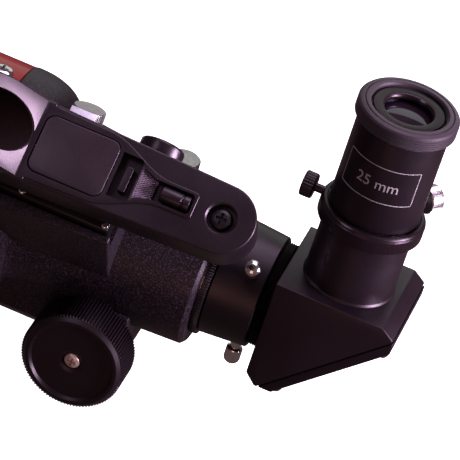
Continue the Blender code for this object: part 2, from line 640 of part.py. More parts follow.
SHOE_FRONT_X = HOUSING_FRONT_X + 10.0 * MM
SHOE_REAR_X = HOUSING_FRONT_X + 60.0 * MM
SHOE_FRONT_HALF = 21.8 * MM         # half widths of the shoe's top, which narrows to the rear
SHOE_REAR_HALF = 18.8 * MM
SHOE_FLARE = 4.6 * MM               # the shoe's sides stand further out at their root
SHOE_ROOT = SHOE_TOP - 40.0 * MM
CHANNEL_PLAY = 1.2 * MM
CHANNEL_UNDERCUT = 1.4 * MM
CLAMP_TILT = radians(30)
CLAMP_X = HOUSING_FRONT_X + 33.3 * MM
CLAMP_SHANK = 2.0 * MM
CLAMP_HEAD_RADIUS = 6.5 * MM
CLAMP_HEAD_HEIGHT = 5.0 * MM
CLAMP_FACE = (25.8 * MM, SHOE_TOP + 2.0 * MM)  # w and u of the middle of the clamp screw's outer face
CLAMP_DIRECTION = (0, cos(CLAMP_TILT), sin(CLAMP_TILT))


def finder_shoe(finder):
    """The block of the dovetail shoe that is moulded on the housing."""
    bm = bmesh.new()
    corners = []
    for u, flare in ((SHOE_ROOT, SHOE_FLARE), (SHOE_TOP, 0)):
        for x, half in ((SHOE_FRONT_X, SHOE_FRONT_HALF), (SHOE_REAR_X, SHOE_REAR_HALF)):
            corners += [bm.verts.new((x, -half - flare, u)), bm.verts.new((x, half + flare, u))]
    bmesh.ops.convex_hull(bm, input=corners)
    return add_object("finder_shoe", bm, None, finder)


def finder_shoe_hollows(housing, finder):
    """The dovetail channel, the hollow under its floor and the clamp screw's hole."""
    floor_half = FOOT_HALF_WIDTH + CHANNEL_PLAY
    mouth_half = floor_half - CHANNEL_UNDERCUT
    above = SHOE_TOP + 5 * MM
    mouth_edge = mouth_half - CHANNEL_UNDERCUT * 5 * MM / (SHOE_TOP - SHOE_FLOOR)
    outline = [(-floor_half, SHOE_FLOOR), (floor_half, SHOE_FLOOR), (mouth_edge, above), (-mouth_edge, above)]
    channel = prism("shoe_channel", outline, SHOE_FRONT_X - 9 * MM, SHOE_REAR_X + 9 * MM, "X", None, finder)
    hollow = block(
        "shoe_hollow", (SHOE_FRONT_X + 10 * MM, -14 * MM, SHOE_ROOT),
        (SHOE_REAR_X - 4 * MM, 14 * MM, SHOE_FLOOR - 3 * MM), None, finder,
    )
    clamp_hole = rod(
        "clamp_hole", CLAMP_SHANK + SCREW_CLEARANCE, -14 * MM, 0, finder,
        (CLAMP_X, CLAMP_FACE[0], CLAMP_FACE[1]), CLAMP_DIRECTION,
    )
    cut(housing, channel, hollow, clamp_hole)


def focuser_housing(axis, finder):
    housing = turned(
        "focuser_housing", housing_outside(), "black_moulding", axis, along=(1, 0, 0), steps=BIG_ROUND
    )
    join(housing, pinion_box(axis), finder_shoe(finder))
    cut(housing, turned("housing_hollow", housing_inside(), None, axis, along=(1, 0, 0), steps=BIG_ROUND))
    pinion_box_hollows(housing, axis)
    finder_shoe_hollows(housing, finder)
    lock_hole = rod(
        "lock_hole", LOCK_SCREW_SHANK + SCREW_CLEARANCE, THROAT_RADIUS - 2 * MM, 2 * TUBE_RADIUS, axis,
        (LOCK_SCREW_X, 0, 0),
    )
    cut(housing, lock_hole)
    tube_screw_holes(housing, axis)


def focus_lock_screw(axis):
    start = DRAWTUBE_RADIUS + GAP
    shank_length = BARREL_REAR_RADIUS + LOCK_SCREW_RISE - start
    outline = thumb_screw_outline(
        LOCK_SCREW_SHANK, shank_length, LOCK_SCREW_HEAD, LOCK_SCREW_HEAD_HEIGHT, KNURL_CHAMFER
    )
    turned("focus_lock_screw", outline, "silver", axis, (LOCK_SCREW_X, 0, start), steps=SMALL_ROUND)


def finder_clamp_screw(finder):
    """Its tip stops just short of the finder foot's flank."""
    reach = (CLAMP_FACE[0] - FOOT_HALF_WIDTH - CLAMP_SHANK * sin(CLAMP_TILT)) / cos(CLAMP_TILT) - 2 * GAP
    outline = thumb_screw_outline(
        CLAMP_SHANK, reach - CLAMP_HEAD_HEIGHT, CLAMP_HEAD_RADIUS, CLAMP_HEAD_HEIGHT, KNURL_CHAMFER
    )
    start = (CLAMP_X, CLAMP_FACE[0] - reach * cos(CLAMP_TILT), CLAMP_FACE[1] - reach * sin(CLAMP_TILT))
    turned("finder_clamp_screw", outline, "silver", finder, start, CLAMP_DIRECTION, SMALL_ROUND)


# ---------------------------------------------------------------- drawtube, rack, pinion and knobs
RACK_TOP_Z = -DRAWTUBE_RADIUS - GAP
RACK_ROOT_Z = PINION_PITCH_RADIUS - PINION_DROP + 1.25 * GEAR_MODULE
TOOTH_PITCH = pi * GEAR_MODULE
BACKLASH = 0.16 * MM
PRESSURE_ANGLE = radians(20)
ROOT_SHARE = 1.35                   # a pinion tooth's width at its root and its tip, as shares of
TIP_SHARE = 0.45                    # its width on the pitch circle


def drawtube(axis):
    inner = DRAWTUBE_RADIUS - DRAWTUBE_WALL
    front_x = DRAWTUBE_REAR_X - DRAWTUBE_LENGTH
    outline = [
        (inner, front_x), (DRAWTUBE_RADIUS, front_x),
        (DRAWTUBE_RADIUS, DRAWTUBE_REAR_X), (inner, DRAWTUBE_REAR_X),
    ]
    turned("drawtube", outline, "chrome", axis, along=(1, 0, 0), steps=FINE_ROUND)


def drawtube_rack(axis):
    """A toothed strip under the drawtube; a gap between two teeth stands over the pinion at rest."""
    behind = 2
    ahead = round(FOCUS_TRAVEL / TOOTH_PITCH) + 2
    root_half = (TOOTH_PITCH - BACKLASH) / 4 + 1.25 * GEAR_MODULE * tan(PRESSURE_ANGLE)
    tip_half = (TOOTH_PITCH - BACKLASH) / 4 - GEAR_MODULE * tan(PRESSURE_ANGLE)
    front_x = PINION_X - (ahead + 0.5) * TOOTH_PITCH
    rear_x = PINION_X + (behind + 0.5) * TOOTH_PITCH
    outline = [(rear_x + TOOTH_PITCH / 2, RACK_TOP_Z), (front_x - TOOTH_PITCH / 2, RACK_TOP_Z)]
    outline.append((front_x - TOOTH_PITCH / 2, RACK_ROOT_Z))
    for tooth in range(ahead + behind + 2):
        middle = front_x + tooth * TOOTH_PITCH
        outline += [
            (middle - root_half, RACK_ROOT_Z), (middle - tip_half, RACK_TIP_Z),
            (middle + tip_half, RACK_TIP_Z), (middle + root_half, RACK_ROOT_Z),
        ]
    outline.append((rear_x + TOOTH_PITCH / 2, RACK_ROOT_Z))
    prism("drawtube_rack", outline, -RACK_HALF_WIDTH, RACK_HALF_WIDTH, "Y", "brass", axis)


def pinion_outline():
    """Teeth about the pinion's own axis, in the X-Z plane, one of them straight up."""
    thickness = (TOOTH_PITCH - BACKLASH) / 2
    root = PINION_PITCH_RADIUS - 1.25 * GEAR_MODULE
    outline = []
    for tooth in range(PINION_TEETH):
        middle = pi / 2 + 2 * pi * tooth / PINION_TEETH
        pitch_half = thickness / 2 / PINION_PITCH_RADIUS
        rising = [
            (root, pitch_half * ROOT_SHARE), (PINION_PITCH_RADIUS, pitch_half),
            (PINION_TIP_RADIUS, pitch_half * TIP_SHARE),
        ]
        falling = [(radius, -half) for radius, half in reversed(rising)]
        for radius, half in rising + falling:
            outline.append((radius * cos(middle - half), radius * sin(middle - half)))
    return outline


KNOB_BACK = PINION_BOX_HALF_WIDTH + 1.1 * MM  # faces of a focus knob from the tube's middle plane
KNOB_FACE = KNOB_BACK + KNOB_THICKNESS
KNOB_RIM = 1.6 * MM
KNOB_DISH = 1.2 * MM
SHAFT_HALF = KNOB_FACE - 5.5 * MM
KNOB_RECESS_RADIUS = 3.6 * MM
KNOB_RECESS_DEPTH = 3.0 * MM
KNOB_SCREW_SHANK = 1.3 * MM
KNOB_SCREW_DEPTH = 8.0 * MM
KNOB_SCREW_HEAD = 3.2 * MM
KNOB_SCREW_HEAD_HEIGHT = 1.8 * MM


def pinion_shaft(axis):
    pivot = (PINION_X, 0, -PINION_DROP)
    tapped = KNOB_SCREW_SHANK + SCREW_CLEARANCE
    tapped_depth = SHAFT_HALF - KNOB_SCREW_DEPTH
    outline = [
        (0, -tapped_depth), (tapped, -tapped_depth), (tapped, -SHAFT_HALF),
        (PINION_SHAFT_RADIUS, -SHAFT_HALF), (PINION_SHAFT_RADIUS, SHAFT_HALF),
        (tapped, SHAFT_HALF), (tapped, tapped_depth), (0, tapped_depth),
    ]
    shaft = turned("pinion_shaft", outline, "silver", axis, pivot, (0, 1, 0), MIDDLE_ROUND)
    gear = prism(
        "pinion_teeth", pinion_outline(), -PINION_HALF_WIDTH, PINION_HALF_WIDTH, "Y", None, axis, pivot
    )
    join(shaft, gear)


def focus_knobs(axis):
    pivot = (PINION_X, 0, -PINION_DROP)
    recess_floor = KNOB_FACE - KNOB_RECESS_DEPTH
    dish_floor = KNOB_FACE - KNOB_DISH
    bore = PINION_SHAFT_RADIUS + GAP
    screw_bore = KNOB_SCREW_SHANK + SCREW_CLEARANCE
    knob = [
        (bore, KNOB_BACK), (KNOB_RADIUS - KNOB_RIM, KNOB_BACK), (KNOB_RADIUS, KNOB_BACK + KNOB_RIM),
        (KNOB_RADIUS, KNOB_FACE - KNOB_RIM), (KNOB_RADIUS - KNOB_RIM, KNOB_FACE),
        (KNOB_RADIUS - 2 * KNOB_RIM, KNOB_FACE), (KNOB_RADIUS - 3 * KNOB_RIM, dish_floor),
        (KNOB_RECESS_RADIUS, dish_floor), (KNOB_RECESS_RADIUS, recess_floor), (screw_bore, recess_floor),
        (screw_bore, SHAFT_HALF + GAP), (bore, SHAFT_HALF + GAP),
    ]
    head_low = recess_floor + GAP
    shank_low = SHAFT_HALF - KNOB_SCREW_DEPTH + GAP
    screw = [
        (0, shank_low), (KNOB_SCREW_SHANK, shank_low),
        (KNOB_SCREW_SHANK, head_low), (KNOB_SCREW_HEAD, head_low),
        (KNOB_SCREW_HEAD * 0.85, head_low + KNOB_SCREW_HEAD_HEIGHT), (0, head_low + KNOB_SCREW_HEAD_HEIGHT),
    ]
    for place, side in (("near", -1), ("far", 1)):
        turned(f"focus_knob_{place}", knob, "black_satin", axis, pivot, (0, side, 0), FINE_ROUND)
        turned(f"knob_screw_{place}", screw, "chrome", axis, pivot, (0, side, 0), SMALL_ROUND)


# ---------------------------------------------------------------- adapter
THREAD_LENGTH = 4.1 * MM
ADAPTER_REAR_RADIUS = ADAPTER_RADIUS - 1.7 * MM
THREAD_RADIUS = ADAPTER_REAR_RADIUS - 1.3 * MM
ADAPTER_SPIGOT_LENGTH = 13.0 * MM
ADAPTER_SCREW_FROM_REAR = 9.6 * MM
ADAPTER_SCREW_SHANK = 1.7 * MM
ADAPTER_SCREW_NECK = 2.0 * MM
ADAPTER_SCREW_HEAD = 3.25 * MM
ADAPTER_SCREW_DOME = 1.6 * MM
ADAPTER_SCREW_STATIONS = (0.2 * MM, 5.5 * MM, 13.0 * MM)  # neck, head and top, outside the adapter
ADAPTER_SCREWS = {"near": 135, "under": 270}


def drawtube_ring(axis):
    start = HOUSING_REAR_X + GAP
    inner = DRAWTUBE_RADIUS + GAP
    outline = [
        (inner, start), (TOOTHED_RING_RADIUS, start), (TOOTHED_RING_RADIUS, start + RING_THICKNESS),
        (inner, start + RING_THICKNESS),
    ]
    turned("drawtube_ring", outline, "black_satin", axis, along=(1, 0, 0), steps=FINE_ROUND)


def adapter_screw_x():
    return ADAPTER_REAR_X - ADAPTER_SCREW_FROM_REAR


def eyepiece_adapter(axis):
    thread_start = ADAPTER_REAR_X - THREAD_LENGTH
    spigot_radius = DRAWTUBE_RADIUS - DRAWTUBE_WALL - GAP
    spigot_front = ADAPTER_FRONT_X - ADAPTER_SPIGOT_LENGTH
    outline = [
        (BARREL_BORE, spigot_front), (spigot_radius, spigot_front), (spigot_radius, ADAPTER_FRONT_X),
        (ADAPTER_RADIUS, ADAPTER_FRONT_X), (ADAPTER_REAR_RADIUS, thread_start), (THREAD_RADIUS, thread_start),
        (THREAD_RADIUS, ADAPTER_REAR_X), (BARREL_BORE, ADAPTER_REAR_X),
    ]
    adapter = turned("eyepiece_adapter", outline, "black_gloss", axis, along=(1, 0, 0), steps=FINE_ROUND)
    for place, angle in ADAPTER_SCREWS.items():
        hole = rod(
            f"adapter_hole_{place}", ADAPTER_SCREW_SHANK + SCREW_CLEARANCE, BARREL_BORE - 2 * MM,
            ADAPTER_RADIUS + 2 * MM, axis, (adapter_screw_x(), 0, 0), radial(angle), 8,
        )
        cut(adapter, hole)


def adapter_screws(axis):
    start = BARREL_RADIUS + GAP
    neck_low, head_low, head_high = (ADAPTER_RADIUS + station for station in ADAPTER_SCREW_STATIONS)
    outline = [
        (0, start), (ADAPTER_SCREW_SHANK, start), (ADAPTER_SCREW_SHANK, neck_low),
        (ADAPTER_SCREW_NECK, neck_low), (ADAPTER_SCREW_NECK, head_low),
        (ADAPTER_SCREW_HEAD, head_low + 0.5 * MM), (ADAPTER_SCREW_HEAD, head_high - ADAPTER_SCREW_DOME),
        (ADAPTER_SCREW_HEAD * 0.6, head_high - 0.3 * MM), (0, head_high),
    ]
    for place, angle in ADAPTER_SCREWS.items():
        turned(
            f"adapter_screw_{place}", outline, "chrome", axis, (adapter_screw_x(), 0, 0), radial(angle),
            SMALL_ROUND,
        )


# ---------------------------------------------------------------- diagonal
COVER_SEAT = 9.5 * MM               # x - z of the body's slanting face, and of the cover's faces
COVER_OUTER = 15.5 * MM
PRISM_LEG = 14.0 * MM
PRISM_HALF_WIDTH = 15.0 * MM
PRISM_PLAY = 0.5 * MM
DIAGONAL_UNDER = 27.0 * MM
DIAGONAL_BACK = 25.6 * MM
SOCKET_TUBE_TOP = SOCKET_TOP - 5.0 * MM
NOSEPIECE_LENGTH = 26.5 * MM
NOSEPIECE_WALL = 2.6 * MM
NOSEPIECE_SPIGOT = 4.2 * MM
BARREL_DEPTH = 27.0 * MM


def diagonal_housing(axis):
    """The body in the X-Z plane, with its chamber, both bores and the socket tube on top."""
    eyepiece = empty("eyepiece_axis", (EYEPIECE_X, 0, 0), axis)
    front = -DIAGONAL_FRONT
    outline = [
        (front, DIAGONAL_TOP), (DIAGONAL_TOP, DIAGONAL_TOP),
        (DIAGONAL_BACK, DIAGONAL_BACK - COVER_SEAT + 1 * MM), (DIAGONAL_BACK, DIAGONAL_BACK - COVER_SEAT),
        (COVER_SEAT - DIAGONAL_UNDER, -DIAGONAL_UNDER),
        (COVER_SEAT - DIAGONAL_UNDER - 1 * MM, -DIAGONAL_UNDER), (front, 4.5 * MM - DIAGONAL_UNDER),
    ]
    half = DIAGONAL_HALF_WIDTH
    body = prism("diagonal_housing", outline, -half, half, "Y", "black_satin", eyepiece)
    socket = rod(
        "socket_tube", SOCKET_TUBE_RADIUS, DIAGONAL_TOP - 2 * MM, SOCKET_TUBE_TOP, eyepiece, steps=FINE_ROUND
    )
    join(body, socket)
    leg = PRISM_LEG + PRISM_PLAY
    seat = COVER_SEAT + 1 * MM
    reach = leg + (leg - seat / 2) / 3   # how far the chamber runs towards the slanting face
    chamber_outline = [(-leg, leg), (-leg, -leg), (seat - reach, -reach), (reach, reach - seat), (leg, leg)]
    chamber = prism(
        "prism_chamber", chamber_outline, -PRISM_HALF_WIDTH - PRISM_PLAY, PRISM_HALF_WIDTH + PRISM_PLAY, "Y",
        None, eyepiece,
    )
    light_radius = BARREL_RADIUS - NOSEPIECE_WALL
    socket_bore = rod(
        "socket_bore", BARREL_BORE, SOCKET_TOP - BARREL_DEPTH - 1 * MM, 2 * SOCKET_TOP, eyepiece,
        steps=FINE_ROUND,
    )
    light_bore = rod("light_bore", light_radius, 5 * MM, SOCKET_TOP, eyepiece, steps=MIDDLE_ROUND)
    front_bore = rod(
        "front_bore", light_radius, -2 * DIAGONAL_FRONT, -5 * MM, eyepiece,
        along=(1, 0, 0), steps=MIDDLE_ROUND,
    )
    spigot_bore = rod(
        "spigot_bore", light_radius + 1.6 * MM, -2 * DIAGONAL_FRONT, front + NOSEPIECE_SPIGOT + GAP, eyepiece,
        along=(1, 0, 0), steps=MIDDLE_ROUND,
    )
    cut(body, chamber, socket_bore, light_bore, front_bore, spigot_bore)
    return eyepiece


def nosepiece_and_prism(axis, eyepiece):
    rear = -DIAGONAL_FRONT - GAP
    front = rear - NOSEPIECE_LENGTH
    inner = BARREL_RADIUS - NOSEPIECE_WALL
    outline = [
        (inner, front), (BARREL_RADIUS, front), (BARREL_RADIUS, rear), (inner + 1.3 * MM, rear),
        (inner + 1.3 * MM, rear + NOSEPIECE_SPIGOT), (inner, rear + NOSEPIECE_SPIGOT),
    ]
    turned("diagonal_nosepiece", outline, "chrome", eyepiece, along=(1, 0, 0), steps=MIDDLE_ROUND)
    corners = [(-PRISM_LEG, -PRISM_LEG), (PRISM_LEG, PRISM_LEG), (-PRISM_LEG, PRISM_LEG)]
    prism("diagonal_prism", corners, -PRISM_HALF_WIDTH, PRISM_HALF_WIDTH, "Y", "glass", eyepiece)


def diagonal_cover(eyepiece):
    """The plate that closes the slanting face behind the prism."""
    inner = COVER_SEAT + GAP * sqrt(2)
    back = DIAGONAL_BACK + 0.6 * MM
    low = -DIAGONAL_UNDER
    outline = [
        (back, back - inner), (back, back - COVER_OUTER), (COVER_OUTER + low, low), (inner + low, low),
    ]
    half = DIAGONAL_HALF_WIDTH
    prism("diagonal_cover", outline, -half, half, "Y", "black_satin", eyepiece)


SOCKET_SCREW_Z = SOCKET_TOP - 2.1 * MM
SOCKET_SCREW_SHANK = 1.7 * MM
# of each screw: its finish, its angle, its head's distance from the ring, its radius and its height
SOCKET_SCREWS = {
    "black": ("black_satin", 180, 3.0 * MM, 5.0 * MM, 5.0 * MM),
    "silver": ("silver", 54, 4.5 * MM, 5.5 * MM, 6.0 * MM),
}


def eyepiece_socket(eyepiece):
    """The lip ring on the socket tube, with a radial hole for each thumb screw."""
    sleeve = SOCKET_TUBE_RADIUS + GAP
    low = SOCKET_TUBE_TOP - 2.5 * MM
    step = SOCKET_TUBE_TOP + GAP
    edge = 0.8 * MM
    outline = [
        (sleeve, low), (SOCKET_RING_RADIUS, low), (SOCKET_RING_RADIUS, SOCKET_TOP - edge),
        (SOCKET_RING_RADIUS - edge, SOCKET_TOP), (BARREL_BORE, SOCKET_TOP), (BARREL_BORE, step),
        (sleeve, step),
    ]
    ring = turned("eyepiece_socket", outline, "black_satin", eyepiece, steps=FINE_ROUND)
    start = BARREL_RADIUS + GAP
    for place, (finish_name, angle, head_distance, head_radius, head_height) in SOCKET_SCREWS.items():
        way = (cos(radians(angle)), sin(radians(angle)), 0)
        at = (0, 0, SOCKET_SCREW_Z)
        hole = rod(
            f"socket_hole_{place}", SOCKET_SCREW_SHANK + SCREW_CLEARANCE, BARREL_BORE - 2 * MM,
            SOCKET_RING_RADIUS + 2 * MM, eyepiece, at, way, 8,
        )
        cut(ring, hole)
        shank_length = SOCKET_RING_RADIUS + head_distance - start
        screw = thumb_screw_outline(SOCKET_SCREW_SHANK, shank_length, head_radius, head_height, KNURL_CHAMFER)
        tip_at = (way[0] * start, way[1] * start, SOCKET_SCREW_Z)
        turned(f"socket_screw_{place}", screw, finish_name, eyepiece, tip_at, way, SMALL_ROUND)


# ---------------------------------------------------------------- eyepiece
EYEPIECE_WALL = 2.8 * MM
EYEPIECE_BORE = EYEPIECE_RADIUS - EYEPIECE_WALL
EYEPIECE_NECK_RADIUS = EYEPIECE_RADIUS - 2.0 * MM
EYEPIECE_NECK_HEIGHT = 3.7 * MM
EYEPIECE_SPIGOT_LENGTH = 6.0 * MM
EYEPIECE_BARREL_BORE = EYEPIECE_BORE - 0.8 * MM
EYE_LENS_RADIUS = 11.5 * MM
EYE_LENS_SEAT = 5.0 * MM
EYE_OPENING = 9.2 * MM
EYE_RING_THICKNESS = 2.0 * MM
CUP_BORE = EYEPIECE_NECK_RADIUS - 0.9 * MM
EYE_RING_RADIUS = CUP_BORE - 0.9 * MM
FIELD_LENS_RADIUS = EYEPIECE_BORE - 1.4 * MM
EYEPIECE_SHOULDER = SOCKET_TOP + GAP
EYEPIECE_TOP = EYEPIECE_SHOULDER + EYEPIECE_LENGTH
NECK_TOP = EYEPIECE_TOP + EYEPIECE_NECK_HEIGHT


def small_lens(name, radius, middle, edge, bulge, parent):
    """A biconvex lens about the eyepiece's axis."""
    half = edge / 2
    face = [(radius, half), (radius * 0.6, half + bulge * 0.64), (0, half + bulge)]
    outline = [(r, middle - rise) for r, rise in reversed(face)] + [(r, middle + rise) for r, rise in face]
    turned(name, outline, "glass", parent, steps=SMALL_ROUND)


def eyepiece(parent):
    lens_bore = EYE_LENS_RADIUS + LENS_PLAY
    seat_low = NECK_TOP - EYE_LENS_SEAT - GAP
    cell_low = NECK_TOP - EYE_LENS_SEAT - 4 * MM
    body = [
        (EYEPIECE_BORE, EYEPIECE_SHOULDER), (EYEPIECE_RADIUS, EYEPIECE_SHOULDER),
        (EYEPIECE_RADIUS, EYEPIECE_TOP), (EYEPIECE_NECK_RADIUS, EYEPIECE_TOP),
        (EYEPIECE_NECK_RADIUS, NECK_TOP), (lens_bore, NECK_TOP), (lens_bore, seat_low),
        (EYE_OPENING, seat_low), (EYE_OPENING, cell_low), (EYEPIECE_BORE, cell_low),
    ]
    turned("eyepiece_body", body, "black_satin", parent, steps=FINE_ROUND)
    barrel_low = SOCKET_TOP - BARREL_DEPTH
    spigot = EYEPIECE_BORE - GAP
    spigot_top = EYEPIECE_SHOULDER + EYEPIECE_SPIGOT_LENGTH
    barrel = [
        (EYEPIECE_BARREL_BORE, barrel_low), (BARREL_RADIUS, barrel_low), (BARREL_RADIUS, SOCKET_TOP),
        (spigot, SOCKET_TOP), (spigot, spigot_top), (EYEPIECE_BARREL_BORE, spigot_top),
    ]
    turned("eyepiece_barrel", barrel, "chrome", parent, steps=MIDDLE_ROUND)
    small_lens("field_lens", FIELD_LENS_RADIUS, EYEPIECE_SHOULDER + 10 * MM, 3 * MM, 2.4 * MM, parent)
    small_lens("eye_lens", EYE_LENS_RADIUS, NECK_TOP - EYE_LENS_SEAT / 2, 1.6 * MM, 1.3 * MM, parent)
    ring_low = NECK_TOP + GAP
    ring = [
        (EYE_OPENING, ring_low), (EYE_RING_RADIUS, ring_low),
        (EYE_RING_RADIUS, ring_low + EYE_RING_THICKNESS), (EYE_OPENING, ring_low + EYE_RING_THICKNESS),
    ]
    turned("eye_lens_ring", ring, "black_satin", parent, steps=MIDDLE_ROUND)
    cup_low = EYEPIECE_TOP + GAP
    cup_top = cup_low + EYE_CUP_HEIGHT
    neck_bore = EYEPIECE_NECK_RADIUS + GAP
    cup = [
        (neck_bore, cup_low), (EYE_CUP_RADIUS - 1 * MM, cup_low), (EYE_CUP_RADIUS, cup_low + 1 * MM),
        (EYE_CUP_RADIUS, cup_top - 1.2 * MM), (EYE_CUP_RADIUS - 1.2 * MM, cup_top), (CUP_BORE, cup_top),
        (CUP_BORE, NECK_TOP + GAP), (neck_bore, NECK_TOP + GAP),
    ]
    turned("eye_cup", cup, "rubber", parent, steps=FINE_ROUND)


# ---------------------------------------------------------------- red-dot finder
FOOT_REAR_X = SHOE_REAR_X - 1.5 * MM
FOOT_FRONT_X = FOOT_REAR_X - FOOT_LENGTH
FOOT_TOP = SHOE_TOP + 3.5 * MM
ELEVATION_X = HOUSING_FRONT_X + 35.0 * MM
ELEVATION_U = FOOT_TOP + 3.5 * MM
ELEVATION_WHEEL_X = ELEVATION_X + 30.0 * MM
ELEVATION_WHEEL_RADIUS = 7.5 * MM
ELEVATION_STUD = 1.5 * MM
ELEVATION_LUG_RADIUS = 3.0 * MM
ELEVATION_PIN = 1.5 * MM
BRACKET_PLATE_LOW = FINDER_BODY_LOW - 4.0 * MM
BRACKET_HALF_WIDTH = 11.5 * MM
BRACKET_FRONT_X = HOUSING_FRONT_X + 19.0 * MM
PIVOT_X = HOUSING_FRONT_X + 98.5 * MM
PIVOT_SHANK = 2.0 * MM
PIVOT_HEAD = 4.15 * MM
PIVOT_RECESS = 5.35 * MM
AZIMUTH_X = HOUSING_FRONT_X + 77.0 * MM
AZIMUTH_U = BRACKET_PLATE_LOW - 2.8 * MM
AZIMUTH_SHANK = 1.3 * MM
AZIMUTH_HEAD = 3.6 * MM
AZIMUTH_HEAD_HEIGHT = 3.5 * MM
TONGUE_HALF_WIDTH = 7.0 * MM
LUG_HALF_WIDTH = 4.0 * MM
TURNING_CLEARANCE = 0.15 * MM       # round the finder's pins and shafts
PEG_RADIUS = 1.5 * MM
PEG_SWING = 2.6 * MM                # half the slot that the azimuth peg moves in
SKIRT_LOW = FOOT_TOP + 1.1 * MM
SKIRT_WALL = 2.0 * MM


def finder_foot(finder):
    """The foot clamped in the shoe, its tongue under the elevation wheel and its hinge lug."""
    low = SHOE_FLOOR + GAP
    low_half = FOOT_HALF_WIDTH
    high_half = FOOT_HALF_WIDTH - CHANNEL_UNDERCUT
    outline = [(-low_half, low), (low_half, low), (high_half, FOOT_TOP), (-high_half, FOOT_TOP)]
    foot = prism("finder_foot", outline, FOOT_FRONT_X, FOOT_REAR_X, "X", "black_gloss", finder)
    tongue = block(
        "foot_tongue", (FOOT_REAR_X - 3 * MM, -TONGUE_HALF_WIDTH, FOOT_TOP - 2.5 * MM),
        (ELEVATION_WHEEL_X + 5 * MM, TONGUE_HALF_WIDTH, FOOT_TOP), None, finder,
    )
    lug_root = FOOT_TOP - 2 * MM
    lug_outline = arc((ELEVATION_X, ELEVATION_U), ELEVATION_LUG_RADIUS, 180, 0, 8)
    lug_outline.append((ELEVATION_X + ELEVATION_LUG_RADIUS, lug_root))
    lug_outline.append((ELEVATION_X - ELEVATION_LUG_RADIUS, lug_root))
    lug = prism("foot_lug", lug_outline, -LUG_HALF_WIDTH, LUG_HALF_WIDTH, "Y", None, finder)
    join(foot, tongue, lug)
    pin_hole = rod(
        "elevation_pin_hole", ELEVATION_PIN + TURNING_CLEARANCE, -20 * MM, 20 * MM, finder,
        (ELEVATION_X, 0, ELEVATION_U), (0, 1, 0),
    )
    stud_hole = rod(
        "elevation_stud_hole", ELEVATION_STUD + 0.6 * MM, FOOT_TOP - 9 * MM, FOOT_TOP + 5 * MM, finder,
        (ELEVATION_WHEEL_X, 0, 0), steps=8,
    )
    cut(foot, pin_hole, stud_hole)


def finder_bracket(finder):
    """Tilts on the foot's lug and carries the finder's body on the pivot at its tail."""
    plate_high = FINDER_BODY_LOW - GAP
    half = BRACKET_HALF_WIDTH
    plan = [(BRACKET_FRONT_X, half), (BRACKET_FRONT_X, -half)] + arc((PIVOT_X, 0), half, -90, 90, 10)
    bracket = prism("finder_bracket", plan, BRACKET_PLATE_LOW, plate_high, "Z", "black_satin", finder)
    for place, side in (("near", -1), ("far", 1)):
        across = sorted((side * half, side * (half - SKIRT_WALL)))
        skirt = block(
            f"bracket_skirt_{place}", (BRACKET_FRONT_X, across[0], SKIRT_LOW),
            (SHOE_REAR_X - 2 * MM, across[1], BRACKET_PLATE_LOW + 1 * MM), None, finder,
        )
        join(bracket, skirt)
    ear = block(
        "azimuth_ear", (AZIMUTH_X - 3.5 * MM, half - SKIRT_WALL, AZIMUTH_U - 2.5 * MM),
        (AZIMUTH_X + 3.5 * MM, half, BRACKET_PLATE_LOW + 1 * MM), None, finder,
    )
    pin = rod(
        "elevation_pin", ELEVATION_PIN, -half + 1 * MM, half - 1 * MM, finder, (ELEVATION_X, 0, ELEVATION_U),
        (0, 1, 0),
    )
    join(bracket, ear, pin)
    room_x = ELEVATION_LUG_RADIUS + 1 * MM
    room_w = LUG_HALF_WIDTH + 1 * MM
    lug_room = block(
        "lug_room", (ELEVATION_X - room_x, -room_w, ELEVATION_U + 2.4 * MM),
        (ELEVATION_X + room_x, room_w, ELEVATION_U + 4 * MM), None, finder,
    )
    pivot_hole = rod(
        "bracket_pivot_hole", PIVOT_SHANK + TURNING_CLEARANCE, 0, 2 * FINDER_BODY_LOW, finder, (PIVOT_X, 0, 0)
    )
    stud_hole = rod(
        "bracket_stud_hole", ELEVATION_STUD + 0.2 * MM, 0, 2 * FINDER_BODY_LOW, finder,
        (ELEVATION_WHEEL_X, 0, 0), steps=8,
    )
    peg_slot = block(
        "peg_slot", (AZIMUTH_X - PEG_RADIUS - 0.5 * MM, -PEG_SWING, SKIRT_LOW),
        (AZIMUTH_X + PEG_RADIUS + 0.5 * MM, PEG_SWING, FINDER_BODY_LOW), None, finder,
    )
    screw_hole = rod(
        "azimuth_hole", AZIMUTH_SHANK + 0.2 * MM, 8 * MM, 20 * MM, finder,
        (AZIMUTH_X, 0, AZIMUTH_U), (0, 1, 0), 8,
    )
    cut(bracket, lug_room, pivot_hole, stud_hole, peg_slot, screw_hole)


def finder_adjusters(finder):
    wheel_low = FOOT_TOP + 1.8 * MM
    wheel_high = BRACKET_PLATE_LOW - 1.0 * MM
    stud_low = FOOT_TOP - 2.0 * MM
    stud_high = FINDER_BODY_LOW - 1.0 * MM
    wheel = [
        (0, stud_low), (ELEVATION_STUD, stud_low), (ELEVATION_STUD, wheel_low),
        (ELEVATION_WHEEL_RADIUS, wheel_low), (ELEVATION_WHEEL_RADIUS, wheel_high),
        (ELEVATION_STUD, wheel_high), (ELEVATION_STUD, stud_high), (0, stud_high),
    ]
    turned("elevation_wheel", wheel, "black_satin", finder, (ELEVATION_WHEEL_X, 0, 0), steps=SMALL_ROUND)
    tip = PEG_RADIUS + 1.3 * MM
    head_low = BRACKET_HALF_WIDTH + GAP
    head_high = head_low + AZIMUTH_HEAD_HEIGHT
    screw = [
        (0, tip), (AZIMUTH_SHANK, tip), (AZIMUTH_SHANK, head_low), (AZIMUTH_HEAD, head_low),
        (AZIMUTH_HEAD, head_high), (0, head_high),
    ]
    turned("azimuth_screw", screw, "black_satin", finder, (AZIMUTH_X, 0, AZIMUTH_U), (0, 1, 0), SMALL_ROUND)


